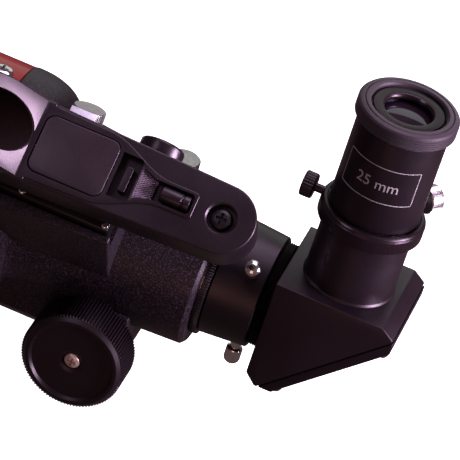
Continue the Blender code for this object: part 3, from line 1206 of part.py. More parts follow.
HOOD_FRONT_X = HOUSING_FRONT_X - 6.0 * MM
HOOD_HALF_WIDTH = 15.5 * MM
HOOD_SLOPE_X = HOUSING_FRONT_X + 24.0 * MM
HOOD_SLOPE = radians(42)
WINDOW_U = FINDER_BODY_HIGH + WINDOW_RADIUS
TAIL_RADIUS = FINDER_HALF_WIDTH
COVER_MIDDLE_X = HOUSING_FRONT_X + 40.5 * MM
COVER_THICKNESS = 2.4 * MM
COVER_CORNER = 3.6 * MM
COVER_PLAY = 0.35 * MM
POCKET_DEPTH = 6.2 * MM
CELL_RADIUS = 10.0 * MM
CELL_HEIGHT = 3.2 * MM
TAB_MIDDLE_X = COVER_MIDDLE_X - 4.4 * MM
TAB_HALF_LENGTH = 5.0 * MM
TAB_THICKNESS = 0.6 * MM
TAB_END = 18.3 * MM
RECESS_FRONT_X = HOUSING_FRONT_X + 56.5 * MM
RAMP_FRONT_X = HOUSING_FRONT_X + 66.0 * MM
EMITTER_FRONT_X = HOUSING_FRONT_X + 73.5 * MM
EMITTER_REAR_X = HOUSING_FRONT_X + 87.0 * MM
RECESS_HALF_WIDTH = 8.6 * MM
EMITTER_HALF_WIDTH = 3.9 * MM
RECESS_DEPTH = 5.0 * MM
BRIGHTNESS_X = HOUSING_FRONT_X + 67.0 * MM
BRIGHTNESS_U = FINDER_BODY_LOW + 8.0 * MM
BRIGHTNESS_SHAFT = 2.5 * MM
BRIGHTNESS_SHAFT_START = 8.5 * MM
PIVOT_HEAD_DEPTH = 4.0 * MM         # the pivot screw's seat below the body's top
PIVOT_HEAD_HEIGHT = 2.4 * MM
BRIGHTNESS_END = 19.3 * MM


def body_half_width(x):
    """Half the body's width, which grows from the tail towards the hood."""
    share = (PIVOT_X - x) / (PIVOT_X - HOOD_SLOPE_X)
    return FINDER_HALF_WIDTH + (HOOD_HALF_WIDTH - FINDER_HALF_WIDTH) * min(max(share, 0), 1)


def finder_body(finder):
    """Body with the window hood in front, battery pocket, emitter recess and the pivot at its tail."""
    stations = [HOOD_FRONT_X, HOOD_SLOPE_X, RECESS_FRONT_X, PIVOT_X - 12 * MM]
    far_side = [(x, body_half_width(x)) for x in reversed(stations)]
    near_side = [(x, -body_half_width(x)) for x in stations]
    plan = arc((PIVOT_X, 0), TAIL_RADIUS, -90, 90, 10) + far_side + near_side
    body = prism("finder_body", plan, FINDER_BODY_LOW, FINDER_BODY_HIGH, "Z", "black_satin", finder)
    hood_low = FINDER_BODY_HIGH - 5 * MM
    hood_outline = arc((0, WINDOW_U), HOOD_HALF_WIDTH, 0, 180, 12)
    hood_outline += [(-HOOD_HALF_WIDTH, hood_low), (HOOD_HALF_WIDTH, hood_low)]
    hood_end = HOOD_SLOPE_X + 3 * MM
    hood = prism("finder_hood", hood_outline, HOOD_FRONT_X, hood_end, "X", None, finder)
    rise = 60 * MM
    slope_outline = [
        (HOOD_SLOPE_X, FINDER_BODY_HIGH), (HOOD_SLOPE_X + rise, FINDER_BODY_HIGH),
        (HOOD_SLOPE_X + rise, FINDER_BODY_HIGH + rise),
        (HOOD_SLOPE_X - rise / tan(HOOD_SLOPE), FINDER_BODY_HIGH + rise),
    ]
    slope = prism("hood_slope", slope_outline, -2 * HOOD_HALF_WIDTH, 2 * HOOD_HALF_WIDTH, "Y", None, finder)
    cut(hood, slope)
    join(body, hood)
    window = rod(
        "window_bore", WINDOW_RADIUS, HOOD_FRONT_X - 5 * MM, HOOD_SLOPE_X + rise, finder,
        (0, 0, WINDOW_U + 0.05 * MM), (1, 0, 0), MIDDLE_ROUND,
    )
    cut(body, window)
    battery_pocket(body, finder)
    emitter_recess(body, finder)
    recess = rod(
        "pivot_recess", PIVOT_RECESS, FINDER_BODY_HIGH - PIVOT_HEAD_DEPTH, FINDER_BODY_HIGH + 4 * MM, finder,
        (PIVOT_X, 0, 0), steps=SMALL_ROUND,
    )
    shank_hole = rod(
        "pivot_hole", PIVOT_SHANK + TURNING_CLEARANCE, 0, 2 * FINDER_BODY_HIGH, finder, (PIVOT_X, 0, 0)
    )
    knob_hole = rod(
        "brightness_hole", BRIGHTNESS_SHAFT + TURNING_CLEARANCE, BRIGHTNESS_SHAFT_START - 0.5 * MM,
        2 * FINDER_HALF_WIDTH, finder, (BRIGHTNESS_X, 0, BRIGHTNESS_U), (0, 1, 0),
    )
    cut(body, recess, shank_hole, knob_hole)
    peg = rod(
        "azimuth_peg", PEG_RADIUS, AZIMUTH_U - 1.5 * MM, FINDER_BODY_LOW + 1 * MM, finder,
        (AZIMUTH_X, 0, 0), steps=8,
    )
    join(body, peg)


def battery_pocket(body, finder):
    """The pocket under the cover, the round seat of the coin cell and the slit for the pull tab."""
    pocket_outline = rounded_rectangle(
        (COVER_MIDDLE_X, 0), BATTERY_COVER_LENGTH + 2 * COVER_PLAY, BATTERY_COVER_WIDTH + 2 * COVER_PLAY,
        COVER_CORNER + COVER_PLAY,
    )
    floor = FINDER_BODY_HIGH - POCKET_DEPTH
    pocket = prism("battery_pocket", pocket_outline, floor, FINDER_BODY_HIGH + 5 * MM, "Z", None, finder)
    seat = rod(
        "cell_seat", CELL_RADIUS + GAP, floor - CELL_HEIGHT - 2 * GAP, floor + 1 * MM, finder,
        (COVER_MIDDLE_X, 0, 0), steps=MIDDLE_ROUND,
    )
    slit = block(
        "tab_slit",
        (TAB_MIDDLE_X - TAB_HALF_LENGTH - GAP, BATTERY_COVER_WIDTH / 2 - 1 * MM, floor - GAP),
        (TAB_MIDDLE_X + TAB_HALF_LENGTH + GAP, 2 * HOOD_HALF_WIDTH, floor + TAB_THICKNESS + GAP),
        None, finder,
    )
    cut(body, pocket, seat, slit)


def emitter_recess(body, finder):
    """The recess behind the cover, the throat that narrows and the trough of the light emitter."""
    outline = [
        (RECESS_FRONT_X, -RECESS_HALF_WIDTH), (RAMP_FRONT_X, -RECESS_HALF_WIDTH),
        (EMITTER_FRONT_X, -EMITTER_HALF_WIDTH), (EMITTER_REAR_X, -EMITTER_HALF_WIDTH),
        (EMITTER_REAR_X, EMITTER_HALF_WIDTH), (EMITTER_FRONT_X, EMITTER_HALF_WIDTH),
        (RAMP_FRONT_X, RECESS_HALF_WIDTH), (RECESS_FRONT_X, RECESS_HALF_WIDTH),
    ]
    low = FINDER_BODY_HIGH - RECESS_DEPTH
    recess = prism("emitter_recess", outline, low, FINDER_BODY_HIGH + 5 * MM, "Z", None, finder)
    cut(body, recess)


def finder_fittings(finder):
    """Window lens, battery cover, coin cell, pull tab, emitter, brightness knob and pivot screw."""
    lens_front = HOOD_FRONT_X + 3 * MM
    lens_radius = WINDOW_RADIUS - LENS_PLAY
    lens_rear = lens_front + 2 * MM
    lens = [(0, lens_front), (lens_radius, lens_front), (lens_radius, lens_rear), (0, lens_rear)]
    turned("finder_lens", lens, "coated_glass", finder, (0, 0, WINDOW_U), (1, 0, 0))
    cover = rounded_rectangle((COVER_MIDDLE_X, 0), BATTERY_COVER_LENGTH, BATTERY_COVER_WIDTH, COVER_CORNER)
    cover_high = FINDER_BODY_HIGH + 0.2 * MM
    prism("battery_cover", cover, cover_high - COVER_THICKNESS, cover_high, "Z", "black_satin", finder)
    floor = FINDER_BODY_HIGH - POCKET_DEPTH
    cell_high = floor - GAP
    cell_low = cell_high - CELL_HEIGHT
    cell = [(0, cell_low), (CELL_RADIUS, cell_low), (CELL_RADIUS, cell_high), (0, cell_high)]
    turned("coin_cell", cell, "silver", finder, (COVER_MIDDLE_X, 0, 0))
    block(
        "battery_tab", (TAB_MIDDLE_X - TAB_HALF_LENGTH, 0, floor),
        (TAB_MIDDLE_X + TAB_HALF_LENGTH, TAB_END, floor + TAB_THICKNESS), "white_plastic", finder,
    )
    emitter_radius = EMITTER_HALF_WIDTH - 0.9 * MM
    emitter_u = FINDER_BODY_HIGH - RECESS_DEPTH + emitter_radius + GAP
    front, rear = EMITTER_FRONT_X + 1 * MM, EMITTER_REAR_X - 1 * MM
    emitter = [(0, front), (emitter_radius, front), (emitter_radius, rear), (0, rear)]
    turned("emitter_holder", emitter, "black_gloss", finder, (0, 0, emitter_u), (1, 0, 0), SMALL_ROUND)
    face = body_half_width(BRIGHTNESS_X) + GAP
    edge = 0.8 * MM
    knob = [
        (0, BRIGHTNESS_SHAFT_START), (BRIGHTNESS_SHAFT, BRIGHTNESS_SHAFT_START), (BRIGHTNESS_SHAFT, face),
        (BRIGHTNESS_KNOB_RADIUS, face), (BRIGHTNESS_KNOB_RADIUS, BRIGHTNESS_END - edge),
        (BRIGHTNESS_KNOB_RADIUS - edge, BRIGHTNESS_END), (0, BRIGHTNESS_END),
    ]
    pivot = (BRIGHTNESS_X, 0, BRIGHTNESS_U)
    turned("brightness_knob", knob, "black_gloss", finder, pivot, (0, 1, 0), MIDDLE_ROUND)
    screw_low = BRACKET_PLATE_LOW + 0.5 * MM
    head_low = FINDER_BODY_HIGH - PIVOT_HEAD_DEPTH + GAP
    head_high = head_low + PIVOT_HEAD_HEIGHT
    screw = [
        (0, screw_low), (PIVOT_SHANK, screw_low), (PIVOT_SHANK, head_low), (PIVOT_HEAD, head_low),
        (PIVOT_HEAD, head_low + 1.4 * MM), (PIVOT_HEAD * 0.6, head_high), (0, head_high),
    ]
    turned("finder_pivot_screw", screw, "black_gloss", finder, (PIVOT_X, 0, 0), steps=SMALL_ROUND)


# ---------------------------------------------------------------- assembly
def clear_scene():
    for item in list(bpy.data.objects):
        bpy.data.objects.remove(item, do_unlink=True)


def build():
    clear_scene()
    axis = empty("optical_axis", (0, 0, AXIS_HEIGHT))
    finder = empty("finder_frame", (0, 0, AXIS_HEIGHT), None, (pi / 2 - FINDER_ANGLE, 0, 0))
    main_tube(axis)
    tube_screws(axis)
    lens_cell(axis)
    objective(axis)
    dew_shield(axis)
    tube_baffle(axis)
    tube_rings(axis)
    dovetail_bar()
    focuser_housing(axis, finder)
    focus_lock_screw(axis)
    finder_clamp_screw(finder)
    drawtube(axis)
    drawtube_rack(axis)
    pinion_shaft(axis)
    focus_knobs(axis)
    drawtube_ring(axis)
    eyepiece_adapter(axis)
    adapter_screws(axis)
    eyepiece_frame = diagonal_housing(axis)
    nosepiece_and_prism(axis, eyepiece_frame)
    diagonal_cover(eyepiece_frame)
    eyepiece_socket(eyepiece_frame)
    eyepiece(eyepiece_frame)
    finder_foot(finder)
    finder_bracket(finder)
    finder_adjusters(finder)
    finder_body(finder)
    finder_fittings(finder)


build()
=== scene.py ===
"""The looks of a short refractor telescope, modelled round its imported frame. Metres, +Z up."""

import json
from math import asin, atan2, cos, hypot, pi, radians, sin, tan

import bpy
from mathutils import Matrix, Vector


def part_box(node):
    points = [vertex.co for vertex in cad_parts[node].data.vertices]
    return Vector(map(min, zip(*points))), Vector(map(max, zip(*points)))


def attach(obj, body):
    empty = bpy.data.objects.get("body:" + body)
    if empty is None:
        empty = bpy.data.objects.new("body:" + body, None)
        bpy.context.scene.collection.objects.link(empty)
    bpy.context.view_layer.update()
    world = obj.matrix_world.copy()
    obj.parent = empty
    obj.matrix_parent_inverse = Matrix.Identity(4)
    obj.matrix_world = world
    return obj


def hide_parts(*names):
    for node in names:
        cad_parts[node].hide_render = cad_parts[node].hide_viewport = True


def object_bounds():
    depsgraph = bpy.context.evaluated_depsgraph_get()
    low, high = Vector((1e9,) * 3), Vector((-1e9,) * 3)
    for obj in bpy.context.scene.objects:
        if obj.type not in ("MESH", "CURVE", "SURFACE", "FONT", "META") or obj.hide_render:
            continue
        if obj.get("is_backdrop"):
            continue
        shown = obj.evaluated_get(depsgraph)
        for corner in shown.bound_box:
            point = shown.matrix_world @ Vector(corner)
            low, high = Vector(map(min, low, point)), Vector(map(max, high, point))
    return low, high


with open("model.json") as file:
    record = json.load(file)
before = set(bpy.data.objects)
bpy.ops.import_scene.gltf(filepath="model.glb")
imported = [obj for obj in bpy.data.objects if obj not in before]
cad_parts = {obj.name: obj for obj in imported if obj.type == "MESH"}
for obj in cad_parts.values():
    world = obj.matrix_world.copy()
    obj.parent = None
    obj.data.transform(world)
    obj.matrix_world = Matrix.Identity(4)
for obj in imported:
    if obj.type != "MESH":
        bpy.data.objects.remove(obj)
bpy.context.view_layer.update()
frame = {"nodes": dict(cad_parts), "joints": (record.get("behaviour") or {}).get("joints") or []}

MM = 0.001

# ---------------------------------------------------------------- the view
# A long lens looks down on the eyepiece end from the near side, leaning so that the tube runs
# downhill to the right. Pale floor, soft lights from above and behind, a weak warm one from below.
# The floor isn't mirrored in the dark finishes, as if a black card lay under the piece.
tube_low, tube_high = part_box("main_tube")
AXIS_Z = (tube_low.z + tube_high.z) / 2
socket_low, socket_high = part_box("eyepiece_socket")
EYEPIECE_X = (socket_low.x + socket_high.x) / 2
LENS_LENGTH = 313.4
VIEW_DISTANCE = 1.5265
VIEW_TURN = radians(5.77)
VIEW_RISE = radians(35.03)
VIEW_LEAN = radians(19.66)
AIM = Vector((EYEPIECE_X - 0.0498, 0.0059, AXIS_Z + 0.0156))

outward = Vector((sin(VIEW_TURN) * cos(VIEW_RISE), -cos(VIEW_TURN) * cos(VIEW_RISE), sin(VIEW_RISE)))
level = Vector((cos(VIEW_TURN), sin(VIEW_TURN), 0))
upright = outward.cross(level) * cos(VIEW_LEAN) - level * sin(VIEW_LEAN)
bpy.ops.object.camera_add(location=Vector((EYEPIECE_X, 0, AXIS_Z)) + outward * VIEW_DISTANCE)
camera = bpy.context.object
forward = (AIM - camera.location).normalized()
right = forward.cross(upright).normalized()
camera.rotation_euler = Matrix((right, right.cross(forward), -forward)).transposed().to_euler()
camera.data.lens = LENS_LENGTH
bpy.context.scene.camera = camera
bpy.context.scene.view_settings.view_transform = "Standard"

FLOOR_COLOUR = (0.94, 0.94, 0.95, 1)
FLOOR_GLOW = 0.86
bpy.ops.mesh.primitive_plane_add(size=24)
floor = bpy.context.object
floor.name = "floor"
floor_paint = bpy.data.materials.new("floor_paint")
floor_paint.use_nodes = True
floor_shader = floor_paint.node_tree.nodes["Principled BSDF"]
floor_shader.inputs["Base Color"].default_value = FLOOR_COLOUR
floor_shader.inputs["Roughness"].default_value = 0.9
floor_shader.inputs["Emission Color"].default_value = FLOOR_COLOUR
floor_shader.inputs["Emission Strength"].default_value = FLOOR_GLOW
floor.data.materials.append(floor_paint)
floor.visible_glossy = False
floor.visible_diffuse = False
floor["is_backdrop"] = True

room = bpy.data.worlds.new("room")
room.use_nodes = True
room.node_tree.nodes["Background"].inputs["Color"].default_value = (0.90, 0.60, 0.58, 1)
room.node_tree.nodes["Background"].inputs["Strength"].default_value = 0.12
bpy.context.scene.world = room


def soft_light(name, place, aim, size, power, colour):
    """A square soft box that looks at a point of the telescope."""
    bpy.ops.object.light_add(type="AREA", location=place)
    light = bpy.context.object
    light.name = name
    light.data.size = size
    light.data.energy = power
    light.data.color = colour
    way = Vector(aim) - Vector(place)
    light.rotation_euler = way.to_track_quat("-Z", "Y").to_euler()


soft_light("overhead", (0.25, 0.35, 1.30), AIM, 0.9, 11.5, (0.95, 0.80, 1.0))
soft_light("behind_the_tail", (1.35, -0.10, 0.44), AIM, 0.5, 44, (0.95, 0.80, 1.0))
soft_light("behind", (0.0, 1.3, 0.55), AIM, 0.9, 1.8, (0.84, 1.0, 0.90))
soft_light("from_the_left", (-0.45, -0.71, 1.10), AIM, 0.4, 2.4, (0.90, 0.82, 1.0))
soft_light("from_below", (0.25, -1.1, 0.10), AIM, 0.5, 1.1, (1.0, 0.52, 0.38))

# ---------------------------------------------------------------- main tube
# Rolled aluminium tube, sprayed deep red and lacquered. Three chrome pan-head screws near its rear
# end hold the focuser housing's spigot in it.
ROUND_EDGE = 0.4 * MM
BIG_STEPS = 144
AXIS_ORIGIN = Vector((0, 0, AXIS_Z))
REARWARD = Vector((1, 0, 0))
UPRIGHT = Matrix.Identity(4)
TUBE_RADIUS = (tube_high.z - tube_low.z) / 2
TUBE_WALL = 1.5 * MM


def along(origin, direction):
    """Where a piece drawn about its own Z axis goes, with that axis along a direction."""
    turn = Vector((0, 0, 1)).rotation_difference(Vector(direction))
    return Matrix.Translation(origin) @ turn.to_matrix().to_4x4()


ON_AXIS = along(AXIS_ORIGIN, REARWARD)


def eased(corners, radius, closed=True, bends=3):
    """The same outline with every corner taken round."""
    outline = []
    for number, corner in enumerate(corners):
        here = Vector(corner)
        if not closed and number in (0, len(corners) - 1):
            outline.append(here)
            continue
        before = Vector(corners[number - 1]) - here
        after = Vector(corners[(number + 1) % len(corners)]) - here
        reach = min(radius, before.length / 3, after.length / 3)
        start, end = here + before.normalized() * reach, here + after.normalized() * reach
        for step in range(bends + 1):
            share = step / bends
            outline.append(start * (1 - share) ** 2 + here * 2 * share * (1 - share) + end * share ** 2)
    return outline


def start_outline(name, points):
    """One vertex, extruded from point to point of an outline; the piece stays in edit mode."""
    bpy.ops.object.select_all(action="DESELECT")
    bpy.ops.mesh.primitive_plane_add(size=MM, location=(0, 0, 0))
    piece = bpy.context.object
    piece.name = name
    bpy.ops.object.mode_set(mode="EDIT")
    bpy.ops.mesh.merge(type="CENTER")
    bpy.ops.transform.translate(value=points[0])
    for here, there in zip(points, points[1:]):
        bpy.ops.mesh.extrude_vertices_move(TRANSFORM_OT_translate={"value": there - here})
    bpy.ops.mesh.select_all(action="SELECT")
    return piece


def put_in_place(piece, place):
    """Move a finished mesh to its place, and leave its object at the origin."""
    bpy.ops.object.select_all(action="DESELECT")
    piece.select_set(True)
    bpy.context.view_layer.objects.active = piece
    piece.matrix_world = place
    bpy.ops.object.transform_apply(location=True, rotation=True, scale=True)


def turned(name, profile, place=UPRIGHT, ease=ROUND_EDGE, steps=BIG_STEPS, ring=True):
    """A lathe-turned piece: (radius, station) points, as a ring's closed loop or from pole to pole."""
    outline = eased(profile, ease, ring) if ease else [Vector(point) for point in profile]
    if ring:
        outline.append(outline[0])
    piece = start_outline(name, [Vector((radius, 0, station)) for radius, station in outline])
    bpy.ops.mesh.spin(steps=steps, angle=2 * pi, center=(0, 0, 0), axis=(0, 0, 1))
    bpy.ops.mesh.select_all(action="SELECT")
    bpy.ops.mesh.remove_doubles(threshold=0.001 * MM)
    bpy.ops.mesh.normals_make_consistent(inside=False)
    bpy.ops.object.mode_set(mode="OBJECT")
    put_in_place(piece, place)
    return piece


def settle(piece, body, finish, slot, *nodes):
    """Shade a piece, give it its finish, and let it ride on its body in place of its plain solids."""
    bpy.ops.object.select_all(action="DESELECT")
    piece.select_set(True)
    bpy.context.view_layer.objects.active = piece
    bpy.ops.object.shade_smooth_by_angle(angle=radians(40))
    piece.data.materials.clear()
    piece.data.materials.append(finish)
    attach(piece, body)
    if nodes:
        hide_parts(*nodes)
    return piece


SPECULAR_TINT = (1.0, 0.80, 0.94, 1)


def finish_of(name, dark, light, roughness, grain, relief, metallic=0.0, patch=25 * MM, spread=0.08):
    """A finish with a fine grain in colour and relief, and broad patches where it is duller or shinier."""
    made = bpy.data.materials.new(name)
    made.use_nodes = True
    nodes, links = made.node_tree.nodes, made.node_tree.links
    shader = nodes["Principled BSDF"]
    shader.inputs["Metallic"].default_value = metallic
    shader.inputs["Specular IOR Level"].default_value = 0.4
    shader.inputs["Specular Tint"].default_value = SPECULAR_TINT
    place = nodes.new("ShaderNodeTexCoord")
    fine, broad = nodes.new("ShaderNodeTexNoise"), nodes.new("ShaderNodeTexNoise")
    for noise, size, detail in ((fine, grain, 2.0), (broad, patch, 4.0)):
        noise.inputs["Scale"].default_value = 1 / size
        noise.inputs["Detail"].default_value = detail
        links.new(place.outputs["Object"], noise.inputs["Vector"])
    colours = nodes.new("ShaderNodeValToRGB")
    colours.color_ramp.elements[0].position = 0.36
    colours.color_ramp.elements[0].color = (*dark, 1)
    colours.color_ramp.elements[1].position = 0.68
    colours.color_ramp.elements[1].color = (*light, 1)
    links.new(fine.outputs["Fac"], colours.inputs["Fac"])
    links.new(colours.outputs["Color"], shader.inputs["Base Color"])
    dull = nodes.new("ShaderNodeMapRange")
    dull.inputs["From Min"].default_value = 0.3
    dull.inputs["From Max"].default_value = 0.7
    dull.inputs["To Min"].default_value = roughness - spread
    dull.inputs["To Max"].default_value = roughness + spread
    links.new(broad.outputs["Fac"], dull.inputs["Value"])
    links.new(dull.outputs["Result"], shader.inputs["Roughness"])
    bump = nodes.new("ShaderNodeBump")
    bump.inputs["Strength"].default_value = 0.6
    bump.inputs["Distance"].default_value = relief
    links.new(fine.outputs["Fac"], bump.inputs["Height"])
    links.new(bump.outputs["Normal"], shader.inputs["Normal"])
    return made


red_lacquer = finish_of(
    "red_lacquer", (0.20, 0.002, 0.006), (0.25, 0.003, 0.008), 0.30, 0.9 * MM, 0.010 * MM
)
lacquer_shader = red_lacquer.node_tree.nodes["Principled BSDF"]
lacquer_shader.inputs["Specular IOR Level"].default_value = 0.15
lacquer_shader.inputs["Coat Weight"].default_value = 0.25
lacquer_shader.inputs["Coat Roughness"].default_value = 0.08
tube_profile = [
    (TUBE_RADIUS - TUBE_WALL, tube_low.x), (TUBE_RADIUS, tube_low.x),
    (TUBE_RADIUS, tube_high.x), (TUBE_RADIUS - TUBE_WALL, tube_high.x),
]
tube = turned("tube", tube_profile, ON_AXIS)

CHROME_GREY = (0.67, 0.65, 0.68)
CHROME_LIGHT = (0.79, 0.77, 0.80)
chrome_plate = finish_of(
    "chrome_plate", CHROME_GREY, CHROME_LIGHT, 0.14, 3 * MM, 0.0004 * MM, metallic=1.0, spread=0.05
)


def block(name, low, high, ease=0.0, place=UPRIGHT):
    """A box between two corners, with its edges taken round."""
    low, high = Vector(low), Vector(high)
    bpy.ops.object.select_all(action="DESELECT")
    bpy.ops.mesh.primitive_cube_add(size=1, location=(low + high) / 2)
    piece = bpy.context.object
    piece.name = name
    piece.scale = high - low
    bpy.ops.object.transform_apply(location=True, rotation=True, scale=True)
    if ease:
        bpy.ops.object.mode_set(mode="EDIT")
        bpy.ops.mesh.select_all(action="SELECT")
        bpy.ops.mesh.bevel(offset=ease, segments=3, affect="EDGES")
        bpy.ops.object.mode_set(mode="OBJECT")
    put_in_place(piece, place)
    return piece


def merge_in(piece, tool, operation="DIFFERENCE"):
    """Cut a helper shape out of a piece, or join it on, and throw the helper away."""
    bpy.ops.object.select_all(action="DESELECT")
    piece.select_set(True)
    bpy.context.view_layer.objects.active = piece
    modifier = piece.modifiers.new("shape", "BOOLEAN")
    modifier.operation = operation
    modifier.object = tool
    bpy.ops.object.modifier_apply(modifier=modifier.name)
    bpy.data.objects.remove(tool)


def rod(radius, low, high, place, steps=32):
    """A plain bar for cutting holes."""
    return turned("hole", [(0, low), (radius, low), (radius, high), (0, high)], place, 0.0, steps, False)


def cross_screw(name, head, height, shank, low, high, place):
    """A pan-head screw with a cross recess; its head's underside is at station high."""
    top = high + height
    profile = [
        (0, low), (shank, low), (shank, high), (head, high), (head, high + height * 0.35),
        (head * 0.86, high + height * 0.72), (head * 0.55, high + height * 0.94), (0, top),
    ]
    screw = turned(name, profile, ease=0.25 * MM, steps=48, ring=False)
    arm, half_slot, depth = head * 0.52, head * 0.12, height * 0.55
    for long_way, wide_way in ((arm, half_slot), (half_slot, arm)):
        slot = block("slot", (-long_way, -wide_way, top - depth), (long_way, wide_way, top + height))
        merge_in(screw, slot)
    put_in_place(screw, place)
    return screw


TUBE_SCREW_HEAD = 4.5 * MM
TUBE_SCREW_HEIGHT = 2.6 * MM
tube_screw_places = []
for side, angle in (("top", 90), ("near", 210), ("far", 330)):
    node = f"tube_screw_{side}"
    low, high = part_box(node)
    way = Vector((0, cos(radians(angle)), sin(radians(angle))))
    foot = AXIS_ORIGIN + Vector(((low.x + high.x) / 2, 0, 0)) + way * (TUBE_RADIUS + 0.3 * MM)
    place = along(foot, way)
    tube_screw_places.append(place)
    merge_in(tube, rod(2.2 * MM, -6 * MM, 2 * MM, place))
    screw = cross_screw(f"{node}_detailed", TUBE_SCREW_HEAD, TUBE_SCREW_HEIGHT, 1.9 * MM, -5 * MM, 0, place)
    settle(screw, "tube", chrome_plate, "chrome", node)
settle(tube, "tube", red_lacquer, "red_gloss", "main_tube")

# ---------------------------------------------------------------- lens cell and objective
# A turned cell, painted satin black, pushed into the tube's front. It holds a cemented-looking
# pair of coated lenses, kept in by a threaded ring.
LENS_RADIUS = 41.0 * MM
BLACK_DEEP = (0.005, 0.004, 0.005)
BLACK_WARM = (0.011, 0.009, 0.011)
black_paint = finish_of("black_paint", BLACK_DEEP, BLACK_WARM, 0.42, 0.7 * MM, 0.02 * MM)
cell_low, cell_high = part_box("lens_cell")
CELL_SPIGOT = 14 * MM
CELL_RADIUS = (cell_high.z - cell_low.z) / 2
SPIGOT_RADIUS = TUBE_RADIUS - TUBE_WALL - 0.3 * MM
CELL_POCKET = LENS_RADIUS + 0.4 * MM
cell_step = cell_high.x - CELL_SPIGOT
cell_profile = [
    (CELL_POCKET, cell_low.x), (CELL_POCKET + 3.6 * MM, cell_low.x), (CELL_RADIUS, cell_low.x + 3.6 * MM),
    (CELL_RADIUS, cell_step), (SPIGOT_RADIUS, cell_step), (SPIGOT_RADIUS, cell_high.x),
    (LENS_RADIUS - 1.5 * MM, cell_high.x), (LENS_RADIUS - 1.5 * MM, cell_step), (CELL_POCKET, cell_step),
]
settle(turned("cell", cell_profile, ON_AXIS), "tube", black_paint, "black_paint", "lens_cell")


def clear_glass(name, colour, coat):
    """Polished glass that lets light through, with a faint bloom of its coating."""
    made = bpy.data.materials.new(name)
    made.use_nodes = True
    nodes, links = made.node_tree.nodes, made.node_tree.links
    shader = nodes["Principled BSDF"]
    shader.inputs["Base Color"].default_value = (*colour, 1)
    shader.inputs["Transmission Weight"].default_value = 1.0
    shader.inputs["IOR"].default_value = 1.52
    shader.inputs["Coat Weight"].default_value = 0.5
    shader.inputs["Coat Tint"].default_value = (*coat, 1)
    place, haze = nodes.new("ShaderNodeTexCoord"), nodes.new("ShaderNodeTexNoise")
    haze.inputs["Scale"].default_value = 90
    smear = nodes.new("ShaderNodeMapRange")
    smear.inputs["To Min"].default_value = 0.01
    smear.inputs["To Max"].default_value = 0.05
    links.new(place.outputs["Object"], haze.inputs["Vector"])
    links.new(haze.outputs["Fac"], smear.inputs["Value"])
    links.new(smear.outputs["Result"], shader.inputs["Roughness"])
    return made


lens_glass = clear_glass("lens_glass", (0.93, 0.98, 0.96), (0.55, 0.85, 0.65))


def lens_face(radius, curve, edge, bulge, steps=8):
    """Points of a spherical face from the rim in to the axis."""
    rim = asin(radius / curve)
    points = []
    for step in range(steps + 1):
        angle = rim * (1 - step / steps)
        points.append((curve * sin(angle), edge + bulge * curve * (cos(angle) - cos(rim))))
    return points


FRONT_CURVE = 244 * MM
INNER_CURVE = 180 * MM
flint_low, flint_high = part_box("flint_lens")
flint_edge = flint_high.x - 9 * MM
crown_edges = (flint_edge - 3.5 * MM, flint_edge - 0.5 * MM)
crown = lens_face(LENS_RADIUS, FRONT_CURVE, crown_edges[0], -1)[::-1]
crown += lens_face(LENS_RADIUS, INNER_CURVE, crown_edges[1], 1)
flint = lens_face(LENS_RADIUS, INNER_CURVE, flint_edge, 1)[::-1]
flint += [(LENS_RADIUS, flint_high.x), (0, flint_high.x)]
for name, profile, node in (("crown_glass", crown, "crown_lens"), ("flint_glass", flint, "flint_lens")):
    lens = turned(name, profile, ON_AXIS, 0.0, 96, False)
    settle(lens, "tube", lens_glass, "glass", node)
ring_low, ring_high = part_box("lens_retaining_ring")
retainer_profile = [
    (LENS_RADIUS - 1.5 * MM, ring_low.x), (LENS_RADIUS, ring_low.x),
    (LENS_RADIUS, ring_high.x), (LENS_RADIUS - 1.5 * MM, ring_high.x),
]
retainer = turned("retaining_ring", retainer_profile, ON_AXIS, 0.2 * MM)
settle(retainer, "tube", black_paint, "black_paint", "lens_retaining_ring")
baffle_low, baffle_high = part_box("tube_baffle")
BAFFLE_OPENING = 33 * MM
baffle_profile = [
    (BAFFLE_OPENING, baffle_low.x), (SPIGOT_RADIUS, baffle_low.x), (SPIGOT_RADIUS, baffle_high.x),
    (SPIGOT_RADIUS - 1 * MM, baffle_high.x), (SPIGOT_RADIUS - 1 * MM, baffle_low.x + 1 * MM),
    (BAFFLE_OPENING, baffle_low.x + 1 * MM),
]
baffle = turned("baffle", baffle_profile, ON_AXIS, 0.2 * MM)
settle(baffle, "tube", black_paint, "black_paint", "tube_baffle")

# ---------------------------------------------------------------- dew shield
# A rolled tube over the cell, painted like it, with a rolled lip in front and two pressed grooves
# behind, where it is screwed to the cell.
shield_low, shield_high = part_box("dew_shield")
SHIELD_RADIUS = (shield_high.z - shield_low.z) / 2
SHIELD_WALL = 1.6 * MM
LIP = 2.2 * MM
GROOVE = 0.5 * MM
shield_outside = [(SHIELD_RADIUS, shield_low.x), (SHIELD_RADIUS, shield_low.x + LIP)]
shield_outside.append((SHIELD_RADIUS - GROOVE, shield_low.x + LIP + GROOVE))
for from_rear in (12 * MM, 8 * MM):
    station = shield_high.x - from_rear
    shield_outside += [
        (SHIELD_RADIUS - GROOVE, station - 2 * GROOVE), (SHIELD_RADIUS - 2 * GROOVE, station - GROOVE),
        (SHIELD_RADIUS - 2 * GROOVE, station), (SHIELD_RADIUS - GROOVE, station + GROOVE),
    ]
shield_outside += [(SHIELD_RADIUS - GROOVE, shield_high.x), (SHIELD_RADIUS - SHIELD_WALL, shield_high.x)]
shield_profile = [(SHIELD_RADIUS - SHIELD_WALL, shield_low.x)] + shield_outside
shield = turned("dew_shield_tube", shield_profile, ON_AXIS, 0.3 * MM)
settle(shield, "tube", black_paint, "black_paint", "dew_shield")

